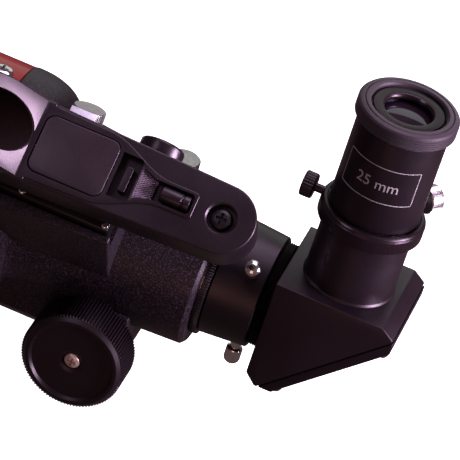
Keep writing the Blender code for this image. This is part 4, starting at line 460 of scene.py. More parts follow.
# ---------------------------------------------------------------- tube rings
# Cast rings in two halves, hinged on the far side and clamped by a knob on the near side, painted
# satin black. The lower halves stand on the dovetail bar.
RING_BORE = TUBE_RADIUS + 0.3 * MM
RING_RADIUS = RING_BORE + 5.7 * MM
HALF_SPLIT = 0.4 * MM
HINGE_Y = RING_RADIUS + 4 * MM
HINGE_PIN = 1.4 * MM
LUG_RADIUS = 3.18 * MM
MIDDLE_LUG = 3.5 * MM
FLANGE_HALF = 8 * MM
RING_KNOB_RADIUS = 9 * MM
SCREW_PLAY = 0.3 * MM


def drawn_plate(name, outline, low, high, place=UPRIGHT, ease=0.0):
    """A flat outline drawn in X-Y, filled and pulled up from low to high, edges taken round."""
    points = [Vector((x, y, low)) for x, y in outline]
    piece = start_outline(name, points)
    bpy.ops.mesh.edge_face_add()
    bpy.ops.mesh.extrude_region_move(TRANSFORM_OT_translate={"value": (0, 0, high - low)})
    bpy.ops.mesh.select_all(action="SELECT")
    bpy.ops.mesh.normals_make_consistent(inside=False)
    bpy.ops.object.mode_set(mode="OBJECT")
    if ease:
        soften(piece, ease)
    put_in_place(piece, place)
    return piece


def soften(piece, width, sharper_than=35):
    """Take the sharp edges of a piece round."""
    bpy.ops.object.select_all(action="DESELECT")
    piece.select_set(True)
    bpy.context.view_layer.objects.active = piece
    modifier = piece.modifiers.new("edges", "BEVEL")
    modifier.width = width
    modifier.segments = 3
    modifier.limit_method = "ANGLE"
    modifier.angle_limit = radians(sharper_than)
    bpy.ops.object.modifier_apply(modifier=modifier.name)


def arc(middle, radius, start, end, steps):
    """Points of an arc, its angles in degrees."""
    turns = [radians(start + (end - start) * step / steps) for step in range(steps + 1)]
    return [(middle[0] + radius * cos(turn), middle[1] + radius * sin(turn)) for turn in turns]


ACROSS = Matrix(((0, 0, 1, 0), (1, 0, 0, 0), (0, 1, 0, 0), (0, 0, 0, 1)))  # drawn X-Y lands in Y-Z
for place_name in ("front", "rear"):
    for half, side in (("upper", 1), ("lower", -1)):
        node = f"ring_{half}_{place_name}"
        low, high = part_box(node)
        middle = (low.x + high.x) / 2
        profile = [(RING_BORE, low.x), (RING_RADIUS, low.x), (RING_RADIUS, high.x), (RING_BORE, high.x)]
        ring = turned(f"{node}_casting", profile, ON_AXIS, 1.0 * MM)
        bpy.ops.object.mode_set(mode="EDIT")
        bpy.ops.mesh.select_all(action="SELECT")
        bpy.ops.mesh.bisect(
            plane_co=AXIS_ORIGIN + Vector((0, 0, side * HALF_SPLIT)), plane_no=(0, 0, side),
            use_fill=True, clear_inner=True,
        )
        bpy.ops.object.mode_set(mode="OBJECT")
        flange_z = sorted((AXIS_Z + side * HALF_SPLIT, AXIS_Z + side * 7 * MM))
        flange = block(
            "flange", (middle - FLANGE_HALF, low.y, flange_z[0]),
            (middle + FLANGE_HALF, -RING_RADIUS + 1.5 * MM, flange_z[1]), 1.0 * MM,
        )
        merge_in(ring, flange, "UNION")
        outer = MIDDLE_LUG + 0.3 * MM
        spans = [(-MIDDLE_LUG, MIDDLE_LUG)]
        if side < 0:
            spans = [(low.x - middle, -outer), (outer, high.x - middle)]
        lug_outline = arc((HINGE_Y, 0), LUG_RADIUS, -130, 70, 20)
        lug_outline += [(RING_RADIUS - 2.5 * MM, 10 * MM), (RING_RADIUS - 1 * MM, 1.6 * MM)]
        lug_outline = [(y, AXIS_Z + side * z) for y, z in lug_outline]
        for start, end in spans:
            lug = drawn_plate("lug", lug_outline, middle + start, middle + end, ACROSS, 0.4 * MM)
            merge_in(ring, lug, "UNION")
        bolt_y = -RING_RADIUS - RING_KNOB_RADIUS - 1 * MM
        bolt_hole = 2.8 * MM if side > 0 else 3.2 * MM
        hinge_line = Vector((middle, HINGE_Y, AXIS_Z))
        merge_in(ring, rod(HINGE_PIN + SCREW_PLAY, -20 * MM, 20 * MM, along(hinge_line, REARWARD)))
        merge_in(ring, rod(bolt_hole, -14 * MM, 14 * MM, Matrix.Translation((middle, bolt_y, AXIS_Z))))
        body = "tube"
        if side > 0:
            body = f"ring_upper_{place_name}"
        else:
            foot = block(
                "foot", (low.x, -14 * MM, low.z), (high.x, 14 * MM, AXIS_Z - RING_BORE - 1.3 * MM), 1.0 * MM
            )
            merge_in(ring, foot, "UNION")
            merge_in(ring, rod(3.3 * MM, -1 * MM, 6.3 * MM, Matrix.Translation((middle, 0, low.z))))
        settle(ring, body, black_paint, "black_paint", node)

KNOB_GREY = (0.014, 0.012, 0.014)
knurled_plastic = finish_of("knurled_plastic", BLACK_DEEP, KNOB_GREY, 0.36, 0.5 * MM, 0.015 * MM)


def ribbed(piece, ribs, depth, radius, low, high):
    """Roll grooves into a rim turned with four rows of points to a rib: two rows of each go in."""
    mesh = piece.data
    for group in (mesh.vertices, mesh.edges, mesh.polygons):
        group.foreach_set("select", [False] * len(group))
    for vertex in mesh.vertices:
        x, y, z = vertex.co
        row = round((atan2(y, x) % (2 * pi)) / (2 * pi) * 4 * ribs)
        vertex.select = hypot(x, y) > radius - depth and low <= z <= high and row % 4 in (0, 1)
    bpy.ops.object.mode_set(mode="EDIT")
    bpy.ops.mesh.select_mode(type="VERT")
    share = 1 - depth / radius
    bpy.ops.transform.resize(value=(share, share, 1), center_override=(0, 0, 0))
    bpy.ops.object.mode_set(mode="OBJECT")


def thumb_screw(name, shank, length, head, height, ribs, place, chamfer=0.5 * MM, groove=0.25 * MM):
    """A thumb screw standing on its tip, its head ribbed between two plain edges."""
    top = length + height
    profile = [
        (0, 0), (shank, 0), (shank, length), (head - chamfer, length), (head, length + chamfer),
        (head, top - chamfer), (head - chamfer, top), (head * 0.6, top - 0.12 * MM), (0, top - 0.12 * MM),
    ]
    screw = turned(name, profile, ease=0.15 * MM, steps=4 * ribs, ring=False)
    ribbed(screw, ribs, groove, head, length + chamfer * 0.9, top - chamfer * 0.9)
    put_in_place(screw, place)
    return screw


for place_name in ("front", "rear"):
    node = f"ring_knob_{place_name}"
    low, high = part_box(node)
    foot = Vector(((low.x + high.x) / 2, bolt_y, low.z))
    knob = thumb_screw(
        f"{node}_knurled", 2.5 * MM, high.z - low.z - 10 * MM, RING_KNOB_RADIUS, 10 * MM, 28,
        Matrix.Translation(foot), 1.0 * MM, 0.6 * MM,
    )
    settle(knob, f"ring_knob_{place_name}", knurled_plastic, "black_satin", node)

bright_steel = finish_of(
    "bright_steel", (0.42, 0.42, 0.42), (0.66, 0.65, 0.66), 0.27, 0.35 * MM, 0.01 * MM, 1.0
)


def refinish(finish, *nodes):
    """Give plain solids that keep their shape their real finish."""
    for node in nodes:
        for holder in frame["nodes"][node].material_slots:
            holder.material = finish


for place_name in ("front", "rear"):
    node = f"ring_hinge_pin_{place_name}"
    low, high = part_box(node)
    half = (high.x - low.x) / 2
    profile = [(0, -half), (HINGE_PIN, -half), (HINGE_PIN, half), (0, half)]
    pin = turned(f"{node}_turned", profile, along((low + high) / 2, REARWARD), 0.3 * MM, 32, False)
    settle(pin, "tube", bright_steel, "silver", node)

# ---------------------------------------------------------------- dovetail bar
# An extruded aluminium bar with sloping sides, cut off square and anodised black. Two socket screws
# from below hold the rings' feet.
bar_low, bar_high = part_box("dovetail_bar")
BAR_SLOPE = radians(15)
black_anodised = finish_of("black_anodised", (0.014, 0.014, 0.016), (0.034, 0.034, 0.037), 0.36, 0.3 * MM,
                           0.01 * MM, 0.6)
top_half = bar_high.y - (bar_high.z - bar_low.z) * tan(BAR_SLOPE)
bar_outline = [(bar_low.y, bar_low.z), (bar_high.y, bar_low.z), (top_half, bar_high.z), (-top_half, bar_high.z)]
bar = drawn_plate("dovetail", bar_outline, bar_low.x, bar_high.x, ACROSS, 0.8 * MM)
for place_name in ("front", "rear"):
    node = f"dovetail_bolt_{place_name}"
    low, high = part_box(node)
    middle = (low.x + high.x) / 2
    here = Matrix.Translation((middle, 0, 0))
    merge_in(bar, rod(4.9 * MM, -5 * MM, 6.1 * MM, here))
    merge_in(bar, rod(3.3 * MM, 5 * MM, 30 * MM, here))
    profile = [(0, low.z), (4.6 * MM, low.z), (4.6 * MM, low.z + 5 * MM), (3 * MM, low.z + 5 * MM),
               (3 * MM, high.z), (0, high.z)]
    bolt = turned(f"{node}_socket", profile, here, 0.3 * MM, 48, False)
    merge_in(bolt, rod(2.5 * MM, low.z - 1 * MM, low.z + 3 * MM, here, 6))
    settle(bolt, "tube", bright_steel, "silver", node)
settle(bar, "tube", black_anodised, "black_anodised", "dovetail_bar")

# ---------------------------------------------------------------- focuser housing
# One casting, blasted and lacquered black: spigot, collar, dome and tapered barrel, with the pinion's box
# below and the finder's dovetail shoe on the near shoulder. Its sparkle is partly bump relief and partly
# painted glints: sparse light lilac speckles in its colour.
blasted_black_painted_glints = finish_of(
    "blasted_black_painted_glints", (0.002, 0.001, 0.002), (0.062, 0.044, 0.066), 0.46, 0.62 * MM, 0.16 * MM
)
# The light speckles are painted glints of the blasted surface's sparkle, laid into its base colour.
painted_glint_speckles = blasted_black_painted_glints.node_tree.nodes["Color Ramp"].color_ramp.elements
painted_glint_speckles[0].position, painted_glint_speckles[1].position = 0.50, 0.80
housing_low, housing_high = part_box("focuser_housing")
SPIGOT_LENGTH = 17 * MM
HOUSING_FRONT = housing_low.x + SPIGOT_LENGTH
HOUSING_REAR = housing_high.x
COLLAR_RADIUS = TUBE_RADIUS + 0.3 * MM
DOME_LENGTH = 19 * MM
DOME_DEPTH = 10.5 * MM
BARREL_FRONT_RADIUS = 37.2 * MM
BARREL_REAR_RADIUS = 31.2 * MM
HOUSING_WALL = 2.8 * MM
THROAT_RADIUS = 23 * MM
THROAT_LENGTH = 20 * MM
barrel_front = HOUSING_FRONT + 2 * MM + DOME_LENGTH


def barrel_radius(station):
    """The barrel narrows fastest just behind the dome."""
    share = max(0.0, (station - barrel_front) / (HOUSING_REAR - barrel_front))
    return BARREL_FRONT_RADIUS - (BARREL_FRONT_RADIUS - BARREL_REAR_RADIUS) * share ** 0.45


outside = [
    (0, housing_low.x), (SPIGOT_RADIUS, housing_low.x), (SPIGOT_RADIUS, HOUSING_FRONT),
    (COLLAR_RADIUS, HOUSING_FRONT),
]
dome_turn = pi / 2 - asin(1 - (COLLAR_RADIUS - BARREL_FRONT_RADIUS) / DOME_DEPTH)
DOME_STEPS = 16
for step in range(DOME_STEPS + 1):
    angle = dome_turn * step / DOME_STEPS
    drop = DOME_DEPTH * (1 - cos(angle))
    outside.append((COLLAR_RADIUS - drop, HOUSING_FRONT + 2 * MM + DOME_LENGTH * sin(angle)))
REAR_CHAMFER = 1.5 * MM
BARREL_STEPS = 12
for step in range(1, BARREL_STEPS + 1):
    station = barrel_front + (HOUSING_REAR - REAR_CHAMFER - barrel_front) * (step / BARREL_STEPS) ** 2
    outside.append((barrel_radius(station), station))
outside += [(BARREL_REAR_RADIUS - REAR_CHAMFER, HOUSING_REAR), (0, HOUSING_REAR)]
housing = turned("housing", outside, ON_AXIS, 0.3 * MM, BIG_STEPS, False)

shaft_low, shaft_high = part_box("pinion_shaft")
PINION_X = (shaft_low.x + shaft_high.x) / 2
PINION_Z = (shaft_low.z + shaft_high.z) / 2
BOX_HALF = 29 * MM
BOX_SHOULDER = 22 * MM
BOX_REAR = PINION_X + 13.4 * MM
box_outline = [
    (BOX_HALF, AXIS_Z - 16.5 * MM), (BOX_HALF, PINION_Z), (BOX_SHOULDER, PINION_Z - 6.5 * MM),
    (12 * MM, housing_low.z), (-12 * MM, housing_low.z), (-BOX_SHOULDER, PINION_Z - 6.5 * MM),
    (-BOX_HALF, PINION_Z), (-BOX_HALF, AXIS_Z - 16.5 * MM),
]
pinion_box = drawn_plate("pinion_box", box_outline, HOUSING_FRONT + 1 * MM, BOX_REAR, ACROSS, 1.0 * MM)
merge_in(housing, pinion_box, "UNION")

finder_up = Vector(next(joint["axis"] for joint in frame["joints"] if joint["name"] == "finder_azimuth"))
FINDER_TILT = atan2(-finder_up.y, finder_up.z)
ON_FINDER = Matrix.Translation(AXIS_ORIGIN) @ Matrix.Rotation(FINDER_TILT, 4, "X")
SHOE_FRONT = HOUSING_FRONT + 10 * MM
SHOE_REAR = HOUSING_FRONT + 60 * MM
SHOE_TOP = 60 * MM
SHOE_FLOOR = 52 * MM
FOOT_HALF = 16.6 * MM
FOOT_TAPER = 1.4 * MM
SHOE_PLAY = 1.2 * MM

shoe = block("shoe", (SHOE_FRONT, -21.8 * MM, 20 * MM), (SHOE_REAR, 21.8 * MM, SHOE_TOP))
for corner in shoe.data.vertices:
    corner.co.y *= (18.8 if corner.co.x > SHOE_REAR - 1 * MM else 21.8) / 21.8
    if corner.co.z < SHOE_TOP - 1 * MM:
        corner.co.y += 4.6 * MM * (1 if corner.co.y > 0 else -1)
soften(shoe, 0.7 * MM)
put_in_place(shoe, ON_FINDER)
merge_in(housing, shoe, "UNION")

hollow = [(0, housing_low.x - 5 * MM), (SPIGOT_RADIUS - 3.7 * MM, housing_low.x - 5 * MM)]
hollow.append((SPIGOT_RADIUS - 3.7 * MM, HOUSING_FRONT))
throat_front = HOUSING_REAR - THROAT_LENGTH
for station in (barrel_front, throat_front - THROAT_LENGTH, throat_front - 3 * MM):
    hollow.append((barrel_radius(station) - HOUSING_WALL - 0.6 * MM, station))
hollow += [(THROAT_RADIUS, throat_front), (THROAT_RADIUS, HOUSING_REAR - 0.6 * MM),
           (THROAT_RADIUS + 1.2 * MM, HOUSING_REAR + 0.6 * MM), (0, HOUSING_REAR + 0.6 * MM)]
merge_in(housing, turned("hollow", hollow, ON_AXIS, 0.0, 96, False))
box_floor = PINION_Z - 4.5 * MM
merge_in(housing, block(
    "box_hollow", (HOUSING_FRONT + 7 * MM, -BOX_SHOULDER, box_floor),
    (BOX_REAR - 4 * MM, BOX_SHOULDER, AXIS_Z - 20.5 * MM),
))
merge_in(housing, block(
    "pinion_pit", (PINION_X - 7.4 * MM, -6.5 * MM, PINION_Z - 7.4 * MM),
    (PINION_X + 7.4 * MM, 6.5 * MM, box_floor + 2 * MM),
))
rack_low, rack_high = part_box("drawtube_rack")
merge_in(housing, block(
    "rack_slot", (BOX_REAR - 8 * MM, rack_low.y - 0.5 * MM, rack_low.z - 0.5 * MM),
    (HOUSING_REAR + 5 * MM, rack_high.y + 0.5 * MM, AXIS_Z - 18.5 * MM),
))
merge_in(housing, rod(3.1 * MM, -40 * MM, 40 * MM, along((PINION_X, 0, PINION_Z), (0, 1, 0)), 48))
floor_half = FOOT_HALF + SHOE_PLAY
mouth = FOOT_TAPER / (SHOE_TOP - SHOE_FLOOR)
above = SHOE_TOP + 5 * MM
mouth_half = floor_half - mouth * (above - SHOE_FLOOR)
channel = [(-floor_half, SHOE_FLOOR), (floor_half, SHOE_FLOOR), (mouth_half, above), (-mouth_half, above)]
merge_in(housing, drawn_plate(
    "channel", channel, SHOE_FRONT - 9 * MM, SHOE_REAR + 9 * MM, ON_FINDER @ ACROSS
))
lock_low, lock_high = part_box("focus_lock_screw")
LOCK_X = (lock_low.x + lock_high.x) / 2
merge_in(housing, rod(2.3 * MM, 20 * MM, 60 * MM, along((LOCK_X, 0, AXIS_Z), (0, 0, 1))))
for place in tube_screw_places:
    merge_in(housing, rod(2.2 * MM, -8 * MM, 2 * MM, place))
clamp_low, clamp_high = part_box("finder_clamp_screw")
CLAMP_TILT = radians(30)
CLAMP_FACE = Vector(((clamp_low.x + clamp_high.x) / 2, 25.8 * MM, 62 * MM))
clamp_way = Vector((0, cos(CLAMP_TILT), sin(CLAMP_TILT)))
merge_in(housing, rod(2.3 * MM, -16 * MM, 0, ON_FINDER @ along(CLAMP_FACE, clamp_way)))
settle(housing, "tube", blasted_black_painted_glints, "black_moulding", "focuser_housing")

# A folded cover plate closes the pinion's box from below, with four small screws.
PLATE_HALF = 11 * MM
plate = block(
    "pinion_cover", (PINION_X - 12 * MM, -PLATE_HALF, housing_low.z - 1.1 * MM),
    (PINION_X + 12 * MM, PLATE_HALF, housing_low.z - 0.05 * MM), 0.4 * MM,
)
settle(plate, "tube", black_paint, "black_paint")
for number, (x_side, y_side) in enumerate(((1, 1), (1, -1), (-1, 1), (-1, -1))):
    foot = (PINION_X + x_side * 9 * MM, y_side * 8 * MM, housing_low.z - 1.1 * MM)
    screw = cross_screw(f"cover_screw_{number}", 2 * MM, 1.1 * MM, 1 * MM, -1 * MM, 0, along(foot, (0, 0, -1)))
    settle(screw, "tube", chrome_plate, "chrome")

# ---------------------------------------------------------------- focus lock and shoe clamp screws
# Plated brass thumb screws with a fine straight knurl and a faced top.
plated_knurl = finish_of(
    "plated_knurl", (0.40, 0.40, 0.39), (0.50, 0.49, 0.49), 0.34, 1.2 * MM, 0.003 * MM, metallic=1.0
)
lock = thumb_screw(
    "focus_lock", 2 * MM, lock_high.z - lock_low.z - 7 * MM, 6 * MM, 7 * MM, 40,
    Matrix.Translation((LOCK_X, 0, lock_low.z)), 0.4 * MM, 0.35 * MM,
)
settle(lock, "focus_lock", plated_knurl, "silver", "focus_lock_screw")
CLAMP_HEAD = 5 * MM
clamp_reach = (CLAMP_FACE.y - FOOT_HALF - 2 * MM * sin(CLAMP_TILT)) / cos(CLAMP_TILT) - 0.6 * MM
clamp_foot = CLAMP_FACE - clamp_way * clamp_reach
clamp = thumb_screw(
    "shoe_clamp", 2 * MM, clamp_reach - CLAMP_HEAD, 6.5 * MM, CLAMP_HEAD, 40,
    ON_FINDER @ along(clamp_foot, clamp_way), 0.4 * MM, 0.35 * MM,
)
settle(clamp, "clamp_screw", plated_knurl, "silver", "finder_clamp_screw")

# ---------------------------------------------------------------- focus knobs
# Moulded knobs on the pinion's shaft: a rim of fine ribs, a polished chamfer, and a shallow dish with
# a chrome screw at the bottom of its recess.
knob_low, knob_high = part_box("focus_knob_near")
KNOB_RADIUS = (knob_high.z - knob_low.z) / 2
KNOB_FACE = -knob_low.y
KNOB_BACK = -knob_high.y
KNOB_RIBS = 100
RIB_DEPTH = 0.8 * MM
RIM = 1.7 * MM
RECESS = 3.6 * MM
DISH = 1.3 * MM
shaft_half = shaft_high.y
knob_profile = [
    (3.3 * MM, KNOB_BACK), (KNOB_RADIUS - RIM, KNOB_BACK), (KNOB_RADIUS, KNOB_BACK + RIM * 0.6),
    (KNOB_RADIUS, KNOB_FACE - RIM), (KNOB_RADIUS - RIB_DEPTH, KNOB_FACE - RIM * 0.85),
    (KNOB_RADIUS - RIM * 1.25, KNOB_FACE), (KNOB_RADIUS - 2.1 * RIM, KNOB_FACE),
    (KNOB_RADIUS - 2.6 * RIM, KNOB_FACE - DISH), (RECESS + 1.6 * MM, KNOB_FACE - DISH),
    (RECESS, KNOB_FACE - DISH - 0.5 * MM), (RECESS, KNOB_FACE - 3 * MM), (1.6 * MM, KNOB_FACE - 3 * MM),
    (1.6 * MM, shaft_half + 0.3 * MM), (3.3 * MM, shaft_half + 0.3 * MM),
]
satin_knob = finish_of("satin_knob", (0.004, 0.0022, 0.0036), (0.008, 0.0046, 0.007), 0.38, 0.6 * MM, 0.012 * MM)
# The screws' light pinkish base colour, half diffuse, is a painted reflection of warm surroundings in the plating.
nickel_with_painted_reflection = finish_of(
    "nickel_with_painted_reflection", (0.40, 0.28, 0.25), (0.72, 0.55, 0.51), 0.36, 1.1 * MM, 0.02 * MM, metallic=0.5
)
for side_name, side in (("near", -1), ("far", 1)):
    place = along((PINION_X, 0, PINION_Z), (0, side, 0))
    knob = turned(f"focus_knob_{side_name}_ribbed", knob_profile, UPRIGHT, 0.15 * MM, 4 * KNOB_RIBS)
    ribbed(knob, KNOB_RIBS, RIB_DEPTH, KNOB_RADIUS, KNOB_BACK + RIM * 0.5, KNOB_FACE - RIM * 0.9)
    put_in_place(knob, place)
    settle(knob, "pinion", satin_knob, "black_satin", f"focus_knob_{side_name}")
    seat = KNOB_FACE - 2.7 * MM
    screw = cross_screw(
        f"knob_screw_{side_name}_plated", 3.2 * MM, 1.8 * MM, 1.3 * MM, shaft_half - 7.7 * MM, seat, place
    )
    settle(screw, "pinion", nickel_with_painted_reflection, "chrome", f"knob_screw_{side_name}")
rack_brass = finish_of("rack_brass", (0.34, 0.22, 0.08), (0.52, 0.37, 0.15), 0.32, 0.5 * MM, 0.01 * MM, 1.0)
refinish(bright_steel, "pinion_shaft")
refinish(rack_brass, "drawtube_rack")

# ---------------------------------------------------------------- drawtube, toothed ring and adapter
# A chromed drawtube carries the rack. The black ring with fine teeth screws on behind it and holds
# the adapter, a smooth turned piece that ends in an outside thread.
draw_low, draw_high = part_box("drawtube")
DRAW_RADIUS = (draw_high.z - draw_low.z) / 2
draw_profile = [
    (DRAW_RADIUS - 1.8 * MM, draw_low.x), (DRAW_RADIUS, draw_low.x),
    (DRAW_RADIUS, draw_high.x), (DRAW_RADIUS - 1.8 * MM, draw_high.x),
]
settle(turned("drawtube_chromed", draw_profile, ON_AXIS), "drawtube", chrome_plate, "chrome", "drawtube")
TEETH = 150
toothed_low, toothed_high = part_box("drawtube_ring")
TOOTHED_RADIUS = (toothed_high.z - toothed_low.z) / 2
toothed_profile = [
    (DRAW_RADIUS + 0.3 * MM, toothed_low.x), (TOOTHED_RADIUS - 0.3 * MM, toothed_low.x),
    (TOOTHED_RADIUS, toothed_low.x + 0.3 * MM), (TOOTHED_RADIUS, toothed_high.x - 0.3 * MM),
    (TOOTHED_RADIUS - 0.3 * MM, toothed_high.x), (DRAW_RADIUS + 0.3 * MM, toothed_high.x),
]
toothed = turned("toothed_ring", toothed_profile, UPRIGHT, 0.0, 4 * TEETH)
ribbed(toothed, TEETH, 0.35 * MM, TOOTHED_RADIUS, toothed_low.x + 0.2 * MM, toothed_high.x - 0.2 * MM)
put_in_place(toothed, ON_AXIS)
settle(toothed, "drawtube", knurled_plastic, "black_satin", "drawtube_ring")

gloss_black = finish_of("gloss_black", (0.0025, 0.0015, 0.002), (0.004, 0.003, 0.004), 0.38, 0.8 * MM, 0.006 * MM)
adapter_low, adapter_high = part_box("eyepiece_adapter")
ADAPTER_FRONT = toothed_high.x + 0.3 * MM
ADAPTER_RADIUS = 24 * MM
ADAPTER_END_RADIUS = 22.3 * MM
THREAD_RADIUS = 21 * MM
BARREL_BORE = 16.05 * MM
thread_start = adapter_high.x - 4.1 * MM
THREADS = 5
adapter_profile = [
    (BARREL_BORE, adapter_low.x), (DRAW_RADIUS - 2.1 * MM, adapter_low.x), (DRAW_RADIUS - 2.1 * MM, ADAPTER_FRONT),
    (ADAPTER_RADIUS - 0.5 * MM, ADAPTER_FRONT), (ADAPTER_RADIUS, ADAPTER_FRONT + 0.5 * MM),
    (ADAPTER_END_RADIUS + 0.3 * MM, thread_start - 0.5 * MM), (ADAPTER_END_RADIUS - 0.3 * MM, thread_start),
    (THREAD_RADIUS - 0.6 * MM, thread_start),
]
pitch = (adapter_high.x - thread_start) / THREADS
for ridge in range(THREADS):
    start = thread_start + ridge * pitch
    adapter_profile += [(THREAD_RADIUS, start + pitch / 2), (THREAD_RADIUS - 0.6 * MM, start + pitch)]
adapter_profile.append((BARREL_BORE, adapter_high.x))
adapter = turned("adapter", adapter_profile, ON_AXIS, 0.0)

# Two chrome thumb screws with domed heads hold the diagonal's nosepiece in the adapter.
ADAPTER_SCREW_X = adapter_high.x - 9.6 * MM
dome_profile = [
    (0, 16.15 * MM), (1.7 * MM, 16.15 * MM), (1.7 * MM, 24.2 * MM), (2 * MM, 24.2 * MM), (2 * MM, 29.5 * MM),
    (3.1 * MM, 29.8 * MM), (3.25 * MM, 30.4 * MM), (3.25 * MM, 34.6 * MM), (3.05 * MM, 35.6 * MM),
    (2.4 * MM, 36.4 * MM), (1.3 * MM, 36.9 * MM), (0, 37 * MM),
]
for side_name, angle in (("near", 135), ("under", 270)):
    place = along((ADAPTER_SCREW_X, 0, AXIS_Z), (0, cos(radians(angle)), sin(radians(angle))))
    merge_in(adapter, rod(2 * MM, 14 * MM, 28 * MM, place))
    screw = turned(f"nose_screw_{side_name}", dome_profile, UPRIGHT, 0.15 * MM, 96, False)
    ribbed(screw, 24, 0.2 * MM, 3.25 * MM, 30.6 * MM, 34.4 * MM)
    put_in_place(screw, place)
    settle(screw, f"adapter_screw_{side_name}", chrome_plate, "chrome", f"adapter_screw_{side_name}")
settle(adapter, "drawtube", gloss_black, "black_gloss", "eyepiece_adapter")

# ---------------------------------------------------------------- diagonal
# A black moulded body with a right-angle prism inside. A plate with four screws closes its slanting
# back, a chromed nosepiece goes into the adapter and the socket tube stands on top.
satin_black = finish_of("satin_black", (0.005, 0.0024, 0.0042), (0.010, 0.0055, 0.009), 0.40, 0.45 * MM, 0.02 * MM)
ON_EYEPIECE = Matrix.Translation((EYEPIECE_X, 0, AXIS_Z))
SIDEWAYS = Matrix.Rotation(pi / 2, 4, "X")
body_low, body_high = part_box("diagonal_housing")
DIAGONAL_FRONT = body_low.x - EYEPIECE_X
DIAGONAL_HALF = body_high.y
DIAGONAL_TOP = 20.7 * MM
SEAT = 9.5 * MM
UNDER = 27 * MM
BACK = 25.6 * MM
SOCKET_TUBE_RADIUS = 17.5 * MM
diagonal_outline = [
    (DIAGONAL_FRONT, DIAGONAL_TOP), (DIAGONAL_TOP, DIAGONAL_TOP), (BACK, BACK - SEAT + 1 * MM),
    (BACK, BACK - SEAT), (SEAT - UNDER, -UNDER), (SEAT - UNDER - 1 * MM, -UNDER),
    (DIAGONAL_FRONT, 4.5 * MM - UNDER),
]
diagonal = drawn_plate(
    "diagonal_body", diagonal_outline, -DIAGONAL_HALF, DIAGONAL_HALF, ON_EYEPIECE @ SIDEWAYS, 0.6 * MM
)
socket_tube = [
    (0, DIAGONAL_TOP - 2 * MM), (SOCKET_TUBE_RADIUS + 0.6 * MM, DIAGONAL_TOP - 2 * MM),
    (SOCKET_TUBE_RADIUS + 0.6 * MM, DIAGONAL_TOP + 0.3 * MM), (SOCKET_TUBE_RADIUS, DIAGONAL_TOP + 1 * MM),
    (SOCKET_TUBE_RADIUS, 50 * MM), (0, 50 * MM),
]
merge_in(diagonal, turned("socket_tube", socket_tube, ON_EYEPIECE, 0.3 * MM, BIG_STEPS, False), "UNION")
merge_in(diagonal, rod(BARREL_BORE, 27 * MM, 60 * MM, ON_EYEPIECE, 96))
merge_in(diagonal, rod(13.25 * MM, 5 * MM, 50 * MM, ON_EYEPIECE, 96))
nose_bore = along((EYEPIECE_X, 0, AXIS_Z), REARWARD)
merge_in(diagonal, rod(14.85 * MM, -30 * MM, DIAGONAL_FRONT + 4.5 * MM, nose_bore, 96))
merge_in(diagonal, rod(13.25 * MM, -30 * MM, -5 * MM, nose_bore, 96))
settle(diagonal, "diagonal", satin_black, "black_satin", "diagonal_housing")
plate_low, plate_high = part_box("diagonal_cover")
inner, outer = SEAT + 0.43 * MM, 15.5 * MM
plate_back, plate_under = plate_high.x - EYEPIECE_X, AXIS_Z - plate_low.z
cover_outline = [
    (plate_back, plate_back - inner), (plate_back, plate_back - outer),
    (outer - plate_under, -plate_under), (inner - plate_under, -plate_under),
]
cover = drawn_plate(
    "slant_cover", cover_outline, -DIAGONAL_HALF, DIAGONAL_HALF, ON_EYEPIECE @ SIDEWAYS, 0.7 * MM
)
settle(cover, "diagonal", satin_black, "black_satin", "diagonal_cover")
slant_out = Vector((1, 0, -1)).normalized()
slant_along = Vector((1, 0, 1)).normalized()
slant_middle = Vector((EYEPIECE_X, 0, AXIS_Z)) + slant_out * outer / 2 ** 0.5
for number, (up, across) in enumerate(((22.5, 18.9), (22.5, -18.9), (-25.3, 18.9), (-25.3, -18.9))):
    foot = slant_middle + slant_along * up * MM + Vector((0, across * MM, 0))
    screw = cross_screw(
        f"slant_screw_{number}", 1.9 * MM, 1.6 * MM, 0.8 * MM, -1 * MM, 0.02 * MM, along(foot, slant_out)
    )
    settle(screw, "diagonal", chrome_plate, "chrome")
nose_low, nose_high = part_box("diagonal_nosepiece")
nose_shoulder = body_low.x - 0.3 * MM
nose_profile = [
    (13.25 * MM, nose_low.x), (15.85 * MM, nose_low.x), (15.85 * MM, nose_shoulder),
    (14.55 * MM, nose_shoulder), (14.55 * MM, nose_high.x), (13.25 * MM, nose_high.x),
]
settle(turned("nosepiece", nose_profile, ON_AXIS), "diagonal", chrome_plate, "chrome", "diagonal_nosepiece")
refinish(lens_glass, "diagonal_prism", "field_lens")

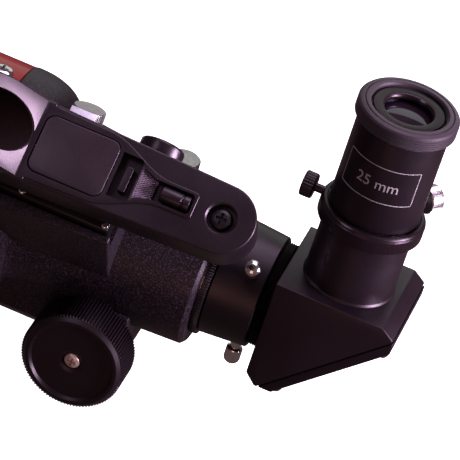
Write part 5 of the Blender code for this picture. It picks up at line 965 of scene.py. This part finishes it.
# A turned lip on the socket tube takes two thumb screws, one moulded black and one plated.
lip_profile = [
    (SOCKET_TUBE_RADIUS + 0.3 * MM, 47.5 * MM), (19.6 * MM, 47.5 * MM), (20.5 * MM, 48.4 * MM),
    (20.5 * MM, 53.4 * MM), (20.1 * MM, 53.7 * MM), (20.1 * MM, 54.2 * MM), (19.5 * MM, 54.9 * MM),
    (18.3 * MM, 55 * MM), (18.1 * MM, 54.5 * MM), (BARREL_BORE, 54.5 * MM), (BARREL_BORE, 50.3 * MM),
    (SOCKET_TUBE_RADIUS + 0.3 * MM, 50.3 * MM),
]
lip = turned("socket_lip", lip_profile, ON_EYEPIECE, 0.2 * MM)
satin_lip = finish_of("satin_lip", (0.006, 0.003, 0.004), (0.011, 0.006, 0.009), 0.27, 0.5 * MM, 0.008 * MM)
SOCKET_SCREW_RISE = 52.9 * MM
for tone, angle, reach, head, height, ribs, finish, slot in (
    ("black", 180, 23.5 * MM, 5 * MM, 5 * MM, 26, knurled_plastic, "black_satin"),
    ("silver", 54, 25 * MM, 5.5 * MM, 6 * MM, 40, plated_knurl, "silver"),
):
    way = Vector((cos(radians(angle)), sin(radians(angle)), 0))
    middle = Vector((EYEPIECE_X, 0, AXIS_Z + SOCKET_SCREW_RISE))
    merge_in(lip, rod(2 * MM, 14 * MM, 24 * MM, along(middle, way)))
    start = middle + way * 16.15 * MM
    screw = thumb_screw(
        f"socket_{tone}_thumb", 1.7 * MM, reach - 16.15 * MM, head, height, ribs, along(start, way)
    )
    settle(screw, f"socket_screw_{tone}", finish, slot, f"socket_screw_{tone}")
settle(lip, "diagonal", satin_lip, "black_satin", "eyepiece_socket")

# ---------------------------------------------------------------- eyepiece
# A turned body over a chromed barrel, with a rubber cup pushed on its neck, a flat black ring round
# the eye lens, and a light printed panel with its focal length.
SHOULDER = 55.3 * MM
BODY_RADIUS = 17.6 * MM
BODY_TOP = SHOULDER + 39 * MM
NECK_TOP = BODY_TOP + 3.7 * MM
EYE_OPENING = 9.2 * MM
eyepiece_profile = [
    (14.8 * MM, SHOULDER), (BODY_RADIUS, SHOULDER), (BODY_RADIUS, BODY_TOP), (15.6 * MM, BODY_TOP),
    (15.6 * MM, NECK_TOP), (11.9 * MM, NECK_TOP), (11.9 * MM, NECK_TOP - 5.3 * MM),
    (EYE_OPENING, NECK_TOP - 5.3 * MM), (EYE_OPENING, NECK_TOP - 9 * MM), (14.8 * MM, NECK_TOP - 9 * MM),
]
eyepiece_black = finish_of(
    "eyepiece_black", (0.005, 0.0025, 0.004), (0.009, 0.005, 0.008), 0.36, 0.4 * MM, 0.012 * MM
)
settle(turned("eyepiece_turned", eyepiece_profile, ON_EYEPIECE), "eyepiece", eyepiece_black, "black_satin",
       "eyepiece_body")
barrel_profile = [
    (14 * MM, 28 * MM), (15.85 * MM, 28 * MM), (15.85 * MM, 55 * MM), (14.5 * MM, 55 * MM),
    (14.5 * MM, SHOULDER + 6 * MM), (14 * MM, SHOULDER + 6 * MM),
]
settle(turned("eyepiece_chrome", barrel_profile, ON_EYEPIECE), "eyepiece", chrome_plate, "chrome",
       "eyepiece_barrel")
cup_low, cup_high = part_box("eye_cup")
CUP_RADIUS = (cup_high.x - cup_low.x) / 2
CUP_BOTTOM, CUP_TOP = cup_low.z - AXIS_Z, cup_high.z - AXIS_Z
CUP_GROOVES = 5
cup_profile = [(15.9 * MM, CUP_BOTTOM), (CUP_RADIUS - 1.6 * MM, CUP_BOTTOM), (CUP_RADIUS - 0.5 * MM, CUP_BOTTOM + 0.6 * MM)]
groove_pitch = 0.92 * MM
for groove in range(CUP_GROOVES):
    start = CUP_BOTTOM + 0.9 * MM + groove * groove_pitch
    cup_profile += [
        (CUP_RADIUS - 0.05 * MM, start), (CUP_RADIUS, start + 0.5 * MM),
        (CUP_RADIUS - 0.32 * MM, start + 0.7 * MM),
    ]
cup_profile += [
    (CUP_RADIUS, CUP_TOP - 1.3 * MM), (CUP_RADIUS - 0.7 * MM, CUP_TOP - 0.5 * MM),
    (CUP_RADIUS - 2.2 * MM, CUP_TOP - 0.1 * MM), (CUP_RADIUS - 2.5 * MM, CUP_TOP - 0.5 * MM),
    (CUP_RADIUS - 2.9 * MM, CUP_TOP - 0.1 * MM), (15.3 * MM, CUP_TOP), (14.7 * MM, CUP_TOP - 0.8 * MM),
    (14.7 * MM, NECK_TOP + 0.3 * MM), (15.9 * MM, NECK_TOP + 0.3 * MM),
]
cup_rubber = finish_of("cup_rubber", (0.010, 0.0045, 0.009), (0.019, 0.0095, 0.0175), 0.52, 0.35 * MM, 0.02 * MM)
cup_rubber.node_tree.nodes["Principled BSDF"].inputs["Sheen Weight"].default_value = 0.15
settle(turned("cup", cup_profile, ON_EYEPIECE, 0.12 * MM), "eyepiece", cup_rubber, "rubber", "eye_cup")
eye_ring_low, eye_ring_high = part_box("eye_lens_ring")
low, high = eye_ring_low.z - AXIS_Z, eye_ring_high.z - AXIS_Z
eye_ring_profile = [
    (EYE_OPENING, low), (13.7 * MM, low), (13.7 * MM, high), (EYE_OPENING + 0.7 * MM, high),
    (EYE_OPENING, high - 0.9 * MM),
]
settle(turned("eye_ring", eye_ring_profile, ON_EYEPIECE, 0.25 * MM), "eyepiece", satin_lip, "black_satin",
       "eye_lens_ring")
EYE_LENS_RADIUS = 11.5 * MM
eye_middle = NECK_TOP - 2.5 * MM
eye_lens = lens_face(EYE_LENS_RADIUS, 52 * MM, eye_middle - 0.8 * MM, -1)[::-1]
eye_lens += lens_face(EYE_LENS_RADIUS, 52 * MM, eye_middle + 0.8 * MM, 1)
# The eye lens is made opaque and nearly black: painted shade for the dark inside of the eyepiece seen through its
# glass.
glass_painted_shade = clear_glass("glass_painted_shade", (0.016, 0.010, 0.015), (0.85, 0.65, 1.0))
glass_painted_shade.node_tree.nodes["Principled BSDF"].inputs["Transmission Weight"].default_value = 0.0
settle(turned("eye_glass", eye_lens, ON_EYEPIECE, 0.0, 64, False), "eyepiece", glass_painted_shade, "glass", "eye_lens")

PANEL_MIDDLE = radians(-91)
PANEL_HALF_TURN = radians(51.5)
PANEL_LOW, PANEL_HIGH = 68.4 * MM, 83.6 * MM
PRINT_LINE = 0.3 * MM
PRINT_LIFT = 0.03 * MM
PRINT_DEPTH = 0.05 * MM
print_ink = finish_of("print_ink", (0.30, 0.27, 0.29), (0.42, 0.38, 0.41), 0.5, 0.3 * MM, 0.004 * MM)


def wrap_round(piece):
    """Bend a flat print, drawn in X-Z, round the eyepiece's body at the panel's middle."""
    for point in piece.data.vertices:
        angle = PANEL_MIDDLE + point.co.x / BODY_RADIUS
        radius = BODY_RADIUS + PRINT_LIFT - point.co.y
        point.co = (EYEPIECE_X + radius * cos(angle), radius * sin(angle), AXIS_Z + point.co.z)


panel_half = PANEL_HALF_TURN * BODY_RADIUS
edge = drawn_plate(
    "print_frame", eased([(-panel_half, PANEL_LOW), (panel_half, PANEL_LOW), (panel_half, PANEL_HIGH),
                          (-panel_half, PANEL_HIGH)], 0.6 * MM), 0, PRINT_DEPTH, SIDEWAYS
)
opening = drawn_plate(
    "opening", [(-panel_half + PRINT_LINE, PANEL_LOW + PRINT_LINE), (panel_half - PRINT_LINE, PANEL_LOW + PRINT_LINE),
                (panel_half - PRINT_LINE, PANEL_HIGH - PRINT_LINE), (-panel_half + PRINT_LINE, PANEL_HIGH - PRINT_LINE)],
    -MM, MM, SIDEWAYS
)
merge_in(edge, opening)
bpy.ops.object.mode_set(mode="EDIT")
for step in range(-24, 25):
    bpy.ops.mesh.select_all(action="SELECT")
    bpy.ops.mesh.bisect(plane_co=(panel_half * step / 24.5, 0, 0), plane_no=(1, 0, 0))
bpy.ops.object.mode_set(mode="OBJECT")
wrap_round(edge)
settle(edge, "eyepiece", print_ink, "white_plastic")

bpy.ops.object.select_all(action="DESELECT")
bpy.ops.object.text_add(location=(0, 0, 0))
lettering = bpy.context.object
lettering.name = "focal_length_print"
lettering.data.body = "25 mm"
lettering.data.align_x = "CENTER"
lettering.data.size = 6.2 * MM
lettering.data.extrude = PRINT_DEPTH / 2
lettering.data.resolution_u = 6
bpy.ops.object.convert(target="MESH")
put_in_place(lettering, Matrix.Translation((0, 0, (PANEL_LOW + PANEL_HIGH) / 2 - 2.1 * MM)) @ SIDEWAYS)
wrap_round(lettering)
settle(lettering, "eyepiece", print_ink, "white_plastic")

# ---------------------------------------------------------------- finder foot and bracket
# A moulded foot slides into the shoe and is clamped there. The bracket above tilts on its lug, moved
# by the wheel between them.
foot_outline = [
    (-FOOT_HALF, SHOE_FLOOR + 0.3 * MM), (FOOT_HALF, SHOE_FLOOR + 0.3 * MM),
    (FOOT_HALF - FOOT_TAPER, 63.5 * MM), (-FOOT_HALF + FOOT_TAPER, 63.5 * MM),
]
FOOT_REAR = SHOE_REAR - 1.5 * MM
FOOT_FRONT = FOOT_REAR - 44.5 * MM
ELEVATION_X = HOUSING_FRONT + 35 * MM
WHEEL_X = ELEVATION_X + 30 * MM
foot = drawn_plate("foot", foot_outline, FOOT_FRONT, FOOT_REAR, ON_FINDER @ ACROSS, 0.8 * MM)
merge_in(foot, block(
    "tongue", (FOOT_REAR - 3 * MM, -7 * MM, 61 * MM), (WHEEL_X + 5 * MM, 7 * MM, 63.5 * MM), 0.4 * MM, ON_FINDER
), "UNION")
lug_outline = arc((ELEVATION_X, 67 * MM), 3 * MM, 180, 0, 20)
lug_outline += [(ELEVATION_X + 3 * MM, 61.5 * MM), (ELEVATION_X - 3 * MM, 61.5 * MM)]
merge_in(foot, drawn_plate("lug", lug_outline, -4 * MM, 4 * MM, ON_FINDER @ SIDEWAYS), "UNION")
merge_in(foot, rod(1.65 * MM, -20 * MM, 20 * MM, ON_FINDER @ along((ELEVATION_X, 0, 67 * MM), (0, 1, 0))))
merge_in(foot, rod(2.1 * MM, 54 * MM, 68 * MM, ON_FINDER @ Matrix.Translation((WHEEL_X, 0, 0))))
settle(foot, "tube", gloss_black, "black_gloss", "finder_foot")
for number, station in enumerate((FOOT_FRONT + 9.5 * MM, FOOT_REAR - 1.6 * MM)):
    peg = cross_screw(
        f"foot_screw_{number}", 1.4 * MM, 1.3 * MM, 0.7 * MM, -1.5 * MM, 0.02 * MM,
        ON_FINDER @ Matrix.Translation((station, -13.4 * MM, 63.5 * MM)),
    )
    settle(peg, "tube", chrome_plate, "chrome")

DECK_LOW = 74 * MM
DECK_HIGH = 94 * MM
BRACKET_HALF = 11.5 * MM
PIVOT_X = HOUSING_FRONT + 98.5 * MM
AZIMUTH_X = HOUSING_FRONT + 77 * MM
BRACKET_FRONT = HOUSING_FRONT + 19 * MM
plan = [(BRACKET_FRONT, BRACKET_HALF), (BRACKET_FRONT, -BRACKET_HALF)]
plan += arc((PIVOT_X, 0), BRACKET_HALF, -90, 90, 32)
bracket = drawn_plate("bracket", plan, 70 * MM, DECK_LOW - 0.3 * MM, ON_FINDER, 0.5 * MM)
for side in (-1, 1):
    across = sorted((side * BRACKET_HALF, side * (BRACKET_HALF - 2 * MM)))
    merge_in(bracket, block(
        "skirt", (BRACKET_FRONT, across[0], 64.6 * MM), (SHOE_REAR - 2 * MM, across[1], 71 * MM), 0.4 * MM, ON_FINDER
    ), "UNION")
merge_in(bracket, block(
    "ear", (AZIMUTH_X - 3.5 * MM, 9.5 * MM, 64.7 * MM), (AZIMUTH_X + 3.5 * MM, 11.5 * MM, 71 * MM), 0.4 * MM, ON_FINDER
), "UNION")
merge_in(bracket, rod(1.5 * MM, -10.5 * MM, 10.5 * MM, ON_FINDER @ along((ELEVATION_X, 0, 67 * MM), (0, 1, 0))), "UNION")
merge_in(bracket, block(
    "lug_room", (ELEVATION_X - 4 * MM, -5 * MM, 69.4 * MM), (ELEVATION_X + 4 * MM, 5 * MM, 71 * MM), 0, ON_FINDER
))
merge_in(bracket, rod(2.15 * MM, 60 * MM, 90 * MM, ON_FINDER @ Matrix.Translation((PIVOT_X, 0, 0))))
merge_in(bracket, rod(1.7 * MM, 60 * MM, 90 * MM, ON_FINDER @ Matrix.Translation((WHEEL_X, 0, 0))))
merge_in(bracket, block(
    "peg_slot", (AZIMUTH_X - 2 * MM, -2.6 * MM, 64.6 * MM), (AZIMUTH_X + 2 * MM, 2.6 * MM, 78 * MM), 0, ON_FINDER
))
merge_in(bracket, rod(1.5 * MM, 8 * MM, 20 * MM, ON_FINDER @ along((AZIMUTH_X, 0, 67.2 * MM), (0, 1, 0))))
settle(bracket, "finder_bracket", satin_black, "black_satin", "finder_bracket")

wheel_profile = [
    (0, 61.5 * MM), (1.5 * MM, 61.5 * MM), (1.5 * MM, 65.3 * MM), (7.2 * MM, 65.3 * MM), (7.5 * MM, 65.6 * MM),
    (7.5 * MM, 68.7 * MM), (7.2 * MM, 69 * MM), (1.5 * MM, 69 * MM), (1.5 * MM, 73 * MM), (0, 73 * MM),
]
wheel = turned("elevation_knurl", wheel_profile, UPRIGHT, 0.0, 160, False)
ribbed(wheel, 40, 0.3 * MM, 7.5 * MM, 65.5 * MM, 68.8 * MM)
put_in_place(wheel, ON_FINDER @ Matrix.Translation((WHEEL_X, 0, 0)))
settle(wheel, "elevation_wheel", knurled_plastic, "black_satin", "elevation_wheel")
side_profile = [
    (0, 2.8 * MM), (1.3 * MM, 2.8 * MM), (1.3 * MM, 11.8 * MM), (3.3 * MM, 11.8 * MM), (3.6 * MM, 12.1 * MM),
    (3.6 * MM, 15 * MM), (3.3 * MM, 15.3 * MM), (0, 15.3 * MM),
]
side_screw = turned("azimuth_knurl", side_profile, UPRIGHT, 0.0, 96, False)
ribbed(side_screw, 24, 0.25 * MM, 3.6 * MM, 12 * MM, 15.1 * MM)
put_in_place(side_screw, ON_FINDER @ along((AZIMUTH_X, 0, 67.2 * MM), (0, 1, 0)))
settle(side_screw, "azimuth_screw", knurled_plastic, "black_satin", "azimuth_screw")

# ---------------------------------------------------------------- finder body
# One moulding: the hood with its round window in front, the pocket of the cover, a raised spine that
# narrows in two curves to the light emitter's trough, and a lower deck with the pivot at its tail.
HOOD_FRONT = HOUSING_FRONT - 6 * MM
HOOD_SLOPE_X = HOUSING_FRONT + 24 * MM
HOOD_HALF = 15.5 * MM
HOOD_SLOPE = radians(42)
WINDOW_RADIUS = 10.5 * MM
WINDOW_UP = DECK_HIGH + WINDOW_RADIUS
TAIL_RADIUS = 13 * MM
DECK_STEP = 0.7 * MM
COVER_MIDDLE = HOUSING_FRONT + 40.5 * MM
COVER_LENGTH, COVER_WIDTH, COVER_CORNER = 29.2 * MM, 22.1 * MM, 3.6 * MM
COVER_GAP = 0.35 * MM
TAB_MIDDLE = COVER_MIDDLE - 4.4 * MM
RECESS_FRONT = HOUSING_FRONT + 56.5 * MM
RAMP_FRONT = HOUSING_FRONT + 66 * MM
TROUGH_FRONT = HOUSING_FRONT + 73.5 * MM
TROUGH_REAR = HOUSING_FRONT + 87 * MM
RECESS_HALF = 8.6 * MM
TROUGH_HALF = 3.9 * MM
SPINE_RIM = 1.3 * MM


def body_half(station):
    """Half the moulding's width, which grows from the tail to the hood."""
    share = (PIVOT_X - station) / (PIVOT_X - HOOD_SLOPE_X)
    return TAIL_RADIUS + (HOOD_HALF - TAIL_RADIUS) * min(max(share, 0), 1)


def spine_half(station):
    """Half the spine's width: nearly the body's beside the cover, the trough's rim at the tail."""
    start, end = RECESS_FRONT - 6 * MM, TROUGH_FRONT + 3 * MM
    share = min(max((station - start) / (end - start), 0), 1)
    share = share * share * (3 - 2 * share)
    return (body_half(station) - 0.9 * MM) * (1 - share) + (TROUGH_HALF + SPINE_RIM) * share


stations = [HOOD_FRONT, HOOD_SLOPE_X, RECESS_FRONT, PIVOT_X - 12 * MM]
plan = arc((PIVOT_X, 0), TAIL_RADIUS, -90, 90, 40)
plan += [(x, body_half(x)) for x in reversed(stations)] + [(x, -body_half(x)) for x in stations]
finder = drawn_plate("finder_moulding", plan, DECK_LOW, DECK_HIGH - DECK_STEP, ON_FINDER, 0.7 * MM)

SPINE_STEPS = 28
spine_front = HOOD_SLOPE_X - 2 * MM
spine_rear = TROUGH_REAR + SPINE_RIM
spine_stations = [spine_front + (TROUGH_REAR - 1 * MM - spine_front) * n / SPINE_STEPS for n in range(SPINE_STEPS + 1)]
spine_plan = [(x, -spine_half(x)) for x in spine_stations]
rear_half = spine_half(spine_rear)
spine_plan += arc((spine_rear - 1.5 * MM, -rear_half + 1.5 * MM), 1.5 * MM, -90, 0, 5)[1:]
spine_plan += arc((spine_rear - 1.5 * MM, rear_half - 1.5 * MM), 1.5 * MM, 0, 90, 5)[:-1]
spine_plan += [(x, spine_half(x)) for x in reversed(spine_stations)]
spine = drawn_plate("spine", spine_plan, DECK_HIGH - 4 * MM, DECK_HIGH, ON_FINDER, 0.45 * MM)
merge_in(finder, spine, "UNION")

hood_outline = arc((0, WINDOW_UP), HOOD_HALF, 0, 180, 48)
hood_outline += [(-HOOD_HALF, DECK_HIGH - 5 * MM), (HOOD_HALF, DECK_HIGH - 5 * MM)]
hood = drawn_plate("hood", hood_outline, HOOD_FRONT, HOOD_SLOPE_X + 3 * MM, ON_FINDER @ ACROSS)
rise = 60 * MM
slope_outline = [
    (HOOD_SLOPE_X, DECK_HIGH), (HOOD_SLOPE_X + rise, DECK_HIGH), (HOOD_SLOPE_X + rise, DECK_HIGH + rise),
    (HOOD_SLOPE_X - rise / tan(HOOD_SLOPE), DECK_HIGH + rise),
]
merge_in(hood, drawn_plate("slope", slope_outline, -2 * HOOD_HALF, 2 * HOOD_HALF, ON_FINDER @ SIDEWAYS))
soften(hood, 0.5 * MM, 25)
# Split down its middle, so that no face of the hood has the window's whole rim inside it.
bpy.ops.object.mode_set(mode="EDIT")
bpy.ops.mesh.select_all(action="SELECT")
bpy.ops.mesh.bisect(plane_co=AXIS_ORIGIN, plane_no=ON_FINDER.to_3x3() @ Vector((0, 1, 0)))
bpy.ops.object.mode_set(mode="OBJECT")
merge_in(finder, hood, "UNION")
window = along((0, 0, WINDOW_UP + 0.05 * MM), REARWARD)
merge_in(finder, rod(WINDOW_RADIUS, HOOD_FRONT - 5 * MM, HOOD_SLOPE_X + rise, ON_FINDER @ window, 96))


def rounded_rectangle(middle, length, width, corner):
    """A rectangle with round corners, drawn anticlockwise."""
    outline = []
    for side_a, side_b, start in ((1, 1, 0), (-1, 1, 90), (-1, -1, 180), (1, -1, 270)):
        centre = (middle + side_a * (length / 2 - corner), side_b * (width / 2 - corner))
        outline += arc(centre, corner, start, start + 90, 8)
    return outline


pocket = rounded_rectangle(
    COVER_MIDDLE, COVER_LENGTH + 2 * COVER_GAP, COVER_WIDTH + 2 * COVER_GAP, COVER_CORNER + COVER_GAP
)
pocket_floor = DECK_HIGH - 6.2 * MM
merge_in(finder, drawn_plate("pocket", pocket, pocket_floor, DECK_HIGH + 5 * MM, ON_FINDER))
merge_in(finder, rod(
    10.3 * MM, pocket_floor - 3.8 * MM, pocket_floor + 1 * MM, ON_FINDER @ Matrix.Translation((COVER_MIDDLE, 0, 0)), 64
))
merge_in(finder, block(
    "tab_slit", (TAB_MIDDLE - 5.3 * MM, COVER_WIDTH / 2 - 1 * MM, pocket_floor - 0.3 * MM),
    (TAB_MIDDLE + 5.3 * MM, 2 * HOOD_HALF, pocket_floor + 0.9 * MM), 0, ON_FINDER,
))
recess_plan = [
    (RECESS_FRONT, -RECESS_HALF), (RAMP_FRONT - 2 * MM, -RECESS_HALF), (RAMP_FRONT, -RECESS_HALF + 2 * MM),
    (RAMP_FRONT, -5.9 * MM), (TROUGH_FRONT - 2 * MM, -TROUGH_HALF), (TROUGH_REAR - 1 * MM, -TROUGH_HALF),
    (TROUGH_REAR, -TROUGH_HALF + 1 * MM), (TROUGH_REAR, TROUGH_HALF - 1 * MM), (TROUGH_REAR - 1 * MM, TROUGH_HALF),
    (TROUGH_FRONT - 2 * MM, TROUGH_HALF), (RAMP_FRONT, 5.9 * MM), (RAMP_FRONT, RECESS_HALF - 2 * MM),
    (RAMP_FRONT - 2 * MM, RECESS_HALF), (RECESS_FRONT, RECESS_HALF),
]
merge_in(finder, drawn_plate("recess", recess_plan, DECK_HIGH - 5 * MM, DECK_HIGH + 5 * MM, ON_FINDER))
pivot = ON_FINDER @ Matrix.Translation((PIVOT_X, 0, 0))
counterbore = [(0, DECK_HIGH - 4 * MM), (5.35 * MM, DECK_HIGH - 4 * MM), (5.35 * MM, DECK_HIGH - DECK_STEP - 0.6 * MM),
               (6.0 * MM, DECK_HIGH - DECK_STEP), (6.6 * MM, DECK_HIGH), (0, DECK_HIGH)]
merge_in(finder, turned("counterbore", counterbore, pivot, 0.0, 64, False))
merge_in(finder, rod(2.15 * MM, 0, 2 * DECK_HIGH, pivot))
KNOB_X = HOUSING_FRONT + 67 * MM
knob_axis = ON_FINDER @ along((KNOB_X, 0, 82 * MM), (0, 1, 0))
merge_in(finder, rod(2.65 * MM, 8 * MM, 30 * MM, knob_axis))
merge_in(finder, rod(1.5 * MM, 65.7 * MM, 75 * MM, ON_FINDER @ Matrix.Translation((AZIMUTH_X, 0, 0))), "UNION")
finder_black = finish_of("finder_black", (0.005, 0.0023, 0.004), (0.010, 0.0055, 0.0095), 0.40, 0.5 * MM, 0.018 * MM)
settle(finder, "finder", finder_black, "black_satin", "finder_body")

# A ramp falls from the recess to the trough, rolled with a fine crossed pattern.
ramp_side = [
    (RAMP_FRONT - 1.2 * MM, DECK_HIGH - 4.95 * MM), (TROUGH_FRONT - 1.4 * MM, DECK_HIGH - 4.95 * MM),
    (TROUGH_FRONT - 1.4 * MM, DECK_HIGH - 3.2 * MM), (RAMP_FRONT - 0.6 * MM, DECK_HIGH - 0.7 * MM),
    (RAMP_FRONT - 1.2 * MM, DECK_HIGH - 1.2 * MM),
]
ramp = drawn_plate("ramp", ramp_side, -RECESS_HALF, RECESS_HALF, ON_FINDER @ SIDEWAYS, 0.2 * MM)
inside = [(x, y * 0.985) for x, y in recess_plan]
keep = drawn_plate("keep", inside, DECK_HIGH - 6 * MM, DECK_HIGH + 5 * MM, ON_FINDER)
merge_in(ramp, keep, "INTERSECT")
ramp_finish = finish_of("ramp_finish", (0.05, 0.03, 0.05), (0.11, 0.075, 0.115), 0.42, 0.5 * MM, 0.02 * MM)
ramp_nodes, ramp_links = ramp_finish.node_tree.nodes, ramp_finish.node_tree.links
ramp_shader = ramp_nodes["Principled BSDF"]
where = ramp_nodes.new("ShaderNodeTexCoord")
HATCH_PITCH = 0.55 * MM
crossed = ramp_nodes.new("ShaderNodeMath")
crossed.operation = "MAXIMUM"
for socket, lean in enumerate((52, -52)):
    turn = ramp_nodes.new("ShaderNodeMapping")
    turn.vector_type = "TEXTURE"
    turn.inputs["Rotation"].default_value = (FINDER_TILT, 0, radians(lean))
    lines = ramp_nodes.new("ShaderNodeTexWave")
    lines.inputs["Scale"].default_value = pi / 10 / HATCH_PITCH
    ramp_links.new(where.outputs["Object"], turn.inputs["Vector"])
    ramp_links.new(turn.outputs["Vector"], lines.inputs["Vector"])
    ramp_links.new(lines.outputs["Fac"], crossed.inputs[socket])
tone = ramp_nodes.new("ShaderNodeValToRGB")
tone.color_ramp.elements[0].position = 0.55
tone.color_ramp.elements[0].color = (0.020, 0.012, 0.020, 1)
tone.color_ramp.elements[1].color = (0.20, 0.14, 0.21, 1)
raised = ramp_nodes.new("ShaderNodeBump")
raised.inputs["Distance"].default_value = 0.15 * MM
ramp_links.new(crossed.outputs["Value"], tone.inputs["Fac"])
ramp_links.new(tone.outputs["Color"], ramp_shader.inputs["Base Color"])
ramp_links.new(crossed.outputs["Value"], raised.inputs["Height"])
ramp_links.new(raised.outputs["Normal"], ramp_shader.inputs["Normal"])
settle(ramp, "finder", ramp_finish, "black_satin")
latch = block(
    "cover_latch", (COVER_MIDDLE + COVER_LENGTH / 2 + 4.4 * MM, -5.2 * MM, DECK_HIGH - 5 * MM),
    (COVER_MIDDLE + COVER_LENGTH / 2 + 7.3 * MM, 4.6 * MM, DECK_HIGH - 1.2 * MM), 0.35 * MM, ON_FINDER,
)
settle(latch, "finder", finder_black, "black_satin")

# ---------------------------------------------------------------- finder fittings
# Tilted red-coated window, snap-in battery cover, coin cell with its plastic pull tab, light emitter,
# brightness knob and the black screw the body turns on.
matte_black = finish_of("matte_black", (0.004, 0.002, 0.002), (0.010, 0.005, 0.004), 0.85, 0.4 * MM, 0.02 * MM)
matte_black.node_tree.nodes["Principled BSDF"].inputs["Specular IOR Level"].default_value = 0.08
tunnel_profile = [
    (WINDOW_RADIUS - 0.3 * MM, HOOD_FRONT + 5.3 * MM), (WINDOW_RADIUS - 0.01 * MM, HOOD_FRONT + 5.3 * MM),
    (WINDOW_RADIUS - 0.01 * MM, HOOD_SLOPE_X), (WINDOW_RADIUS - 0.3 * MM, HOOD_SLOPE_X),
]
tunnel = turned("window_paint", tunnel_profile, ON_FINDER @ window, 0.0, 96)
merge_in(tunnel, drawn_plate(
    "slope", [(x - 0.4 * MM, z) for x, z in slope_outline], -2 * HOOD_HALF, 2 * HOOD_HALF, ON_FINDER @ SIDEWAYS
))
settle(tunnel, "finder", matte_black, "black_paint")
red_mirror = clear_glass("red_mirror", (0.75, 0.22, 0.12), (1.0, 0.35, 0.25))
window_profile = [(0, HOOD_FRONT + 3 * MM), (10.1 * MM, HOOD_FRONT + 3 * MM), (10.1 * MM, HOOD_FRONT + 5 * MM),
                  (0, HOOD_FRONT + 5 * MM)]
pane = turned("window_pane", window_profile, ON_FINDER @ window, 0.15 * MM, 96, False)
settle(pane, "finder", red_mirror, "coated_glass", "finder_lens")
cover_plan = rounded_rectangle(COVER_MIDDLE, COVER_LENGTH, COVER_WIDTH, COVER_CORNER)
cover = drawn_plate("cover", cover_plan, DECK_HIGH - 2.2 * MM, DECK_HIGH + 0.2 * MM, ON_FINDER, 0.4 * MM)
cover_black = finish_of("cover_black", (0.010, 0.005, 0.008), (0.021, 0.012, 0.018), 0.46, 0.35 * MM, 0.025 * MM)
settle(cover, "battery_cover", cover_black, "black_satin", "battery_cover")
cell_profile = [
    (0, 84.3 * MM), (9.2 * MM, 84.3 * MM), (9.4 * MM, 84.9 * MM), (10 * MM, 85.2 * MM), (10 * MM, 87.5 * MM),
    (0, 87.5 * MM),
]
cell = turned("button_cell", cell_profile, ON_FINDER @ Matrix.Translation((COVER_MIDDLE, 0, 0)), 0.2 * MM, 64, False)
settle(cell, "finder", bright_steel, "silver", "coin_cell")
tab_plastic = finish_of("tab_plastic", (0.66, 0.60, 0.74), (0.80, 0.75, 0.88), 0.4, 2 * MM, 0.01 * MM)
tab = block(
    "pull_tab", (TAB_MIDDLE - 5 * MM, 0, pocket_floor),
    (TAB_MIDDLE + 5 * MM, 18.3 * MM, pocket_floor + 0.6 * MM), 0.15 * MM, ON_FINDER,
)
settle(tab, "battery_tab", tab_plastic, "white_plastic", "battery_tab")
EMITTER_RADIUS = 3 * MM
emitter_up = DECK_HIGH - 5 * MM + EMITTER_RADIUS + 0.3 * MM
emitter_front, emitter_rear = TROUGH_FRONT + 1 * MM, TROUGH_REAR - 1 * MM
emitter_profile = [
    (0, emitter_front), (2.2 * MM, emitter_front), (EMITTER_RADIUS, emitter_front + 0.7 * MM),
    (EMITTER_RADIUS, emitter_rear - 3.2 * MM), (2.7 * MM, emitter_rear - 3 * MM), (2.7 * MM, emitter_rear - 2.4 * MM),
    (EMITTER_RADIUS, emitter_rear - 2.2 * MM), (EMITTER_RADIUS, emitter_rear), (0, emitter_rear),
]
emitter = turned("emitter", emitter_profile, ON_FINDER @ along((0, 0, emitter_up), REARWARD), 0.15 * MM, 64, False)
settle(emitter, "finder", finder_black, "black_gloss", "emitter_holder")
knob_start = body_half(KNOB_X) + 0.3 * MM
dial_profile = [
    (0, 8.5 * MM), (2.5 * MM, 8.5 * MM), (2.5 * MM, knob_start), (8.5 * MM, knob_start), (8.5 * MM, 18.5 * MM),
    (7.7 * MM, 19.3 * MM), (0, 19.3 * MM),
]
dial_black = finish_of("dial_black", (0.005, 0.0025, 0.005), (0.009, 0.005, 0.009), 0.34, 0.6 * MM, 0.006 * MM)
dial = turned("brightness_dial", dial_profile, knob_axis, 0.35 * MM, 96, False)
settle(dial, "brightness_knob", dial_black, "black_gloss", "brightness_knob")
pivot_screw = cross_screw(
    "pivot_screw", 4.15 * MM, 2.4 * MM, 2 * MM, 70.5 * MM, DECK_HIGH - 3.7 * MM, pivot
)
settle(pivot_screw, "finder", gloss_black, "black_gloss", "finder_pivot_screw")

# ---------------------------------------------------------------- the model's size
low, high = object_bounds()
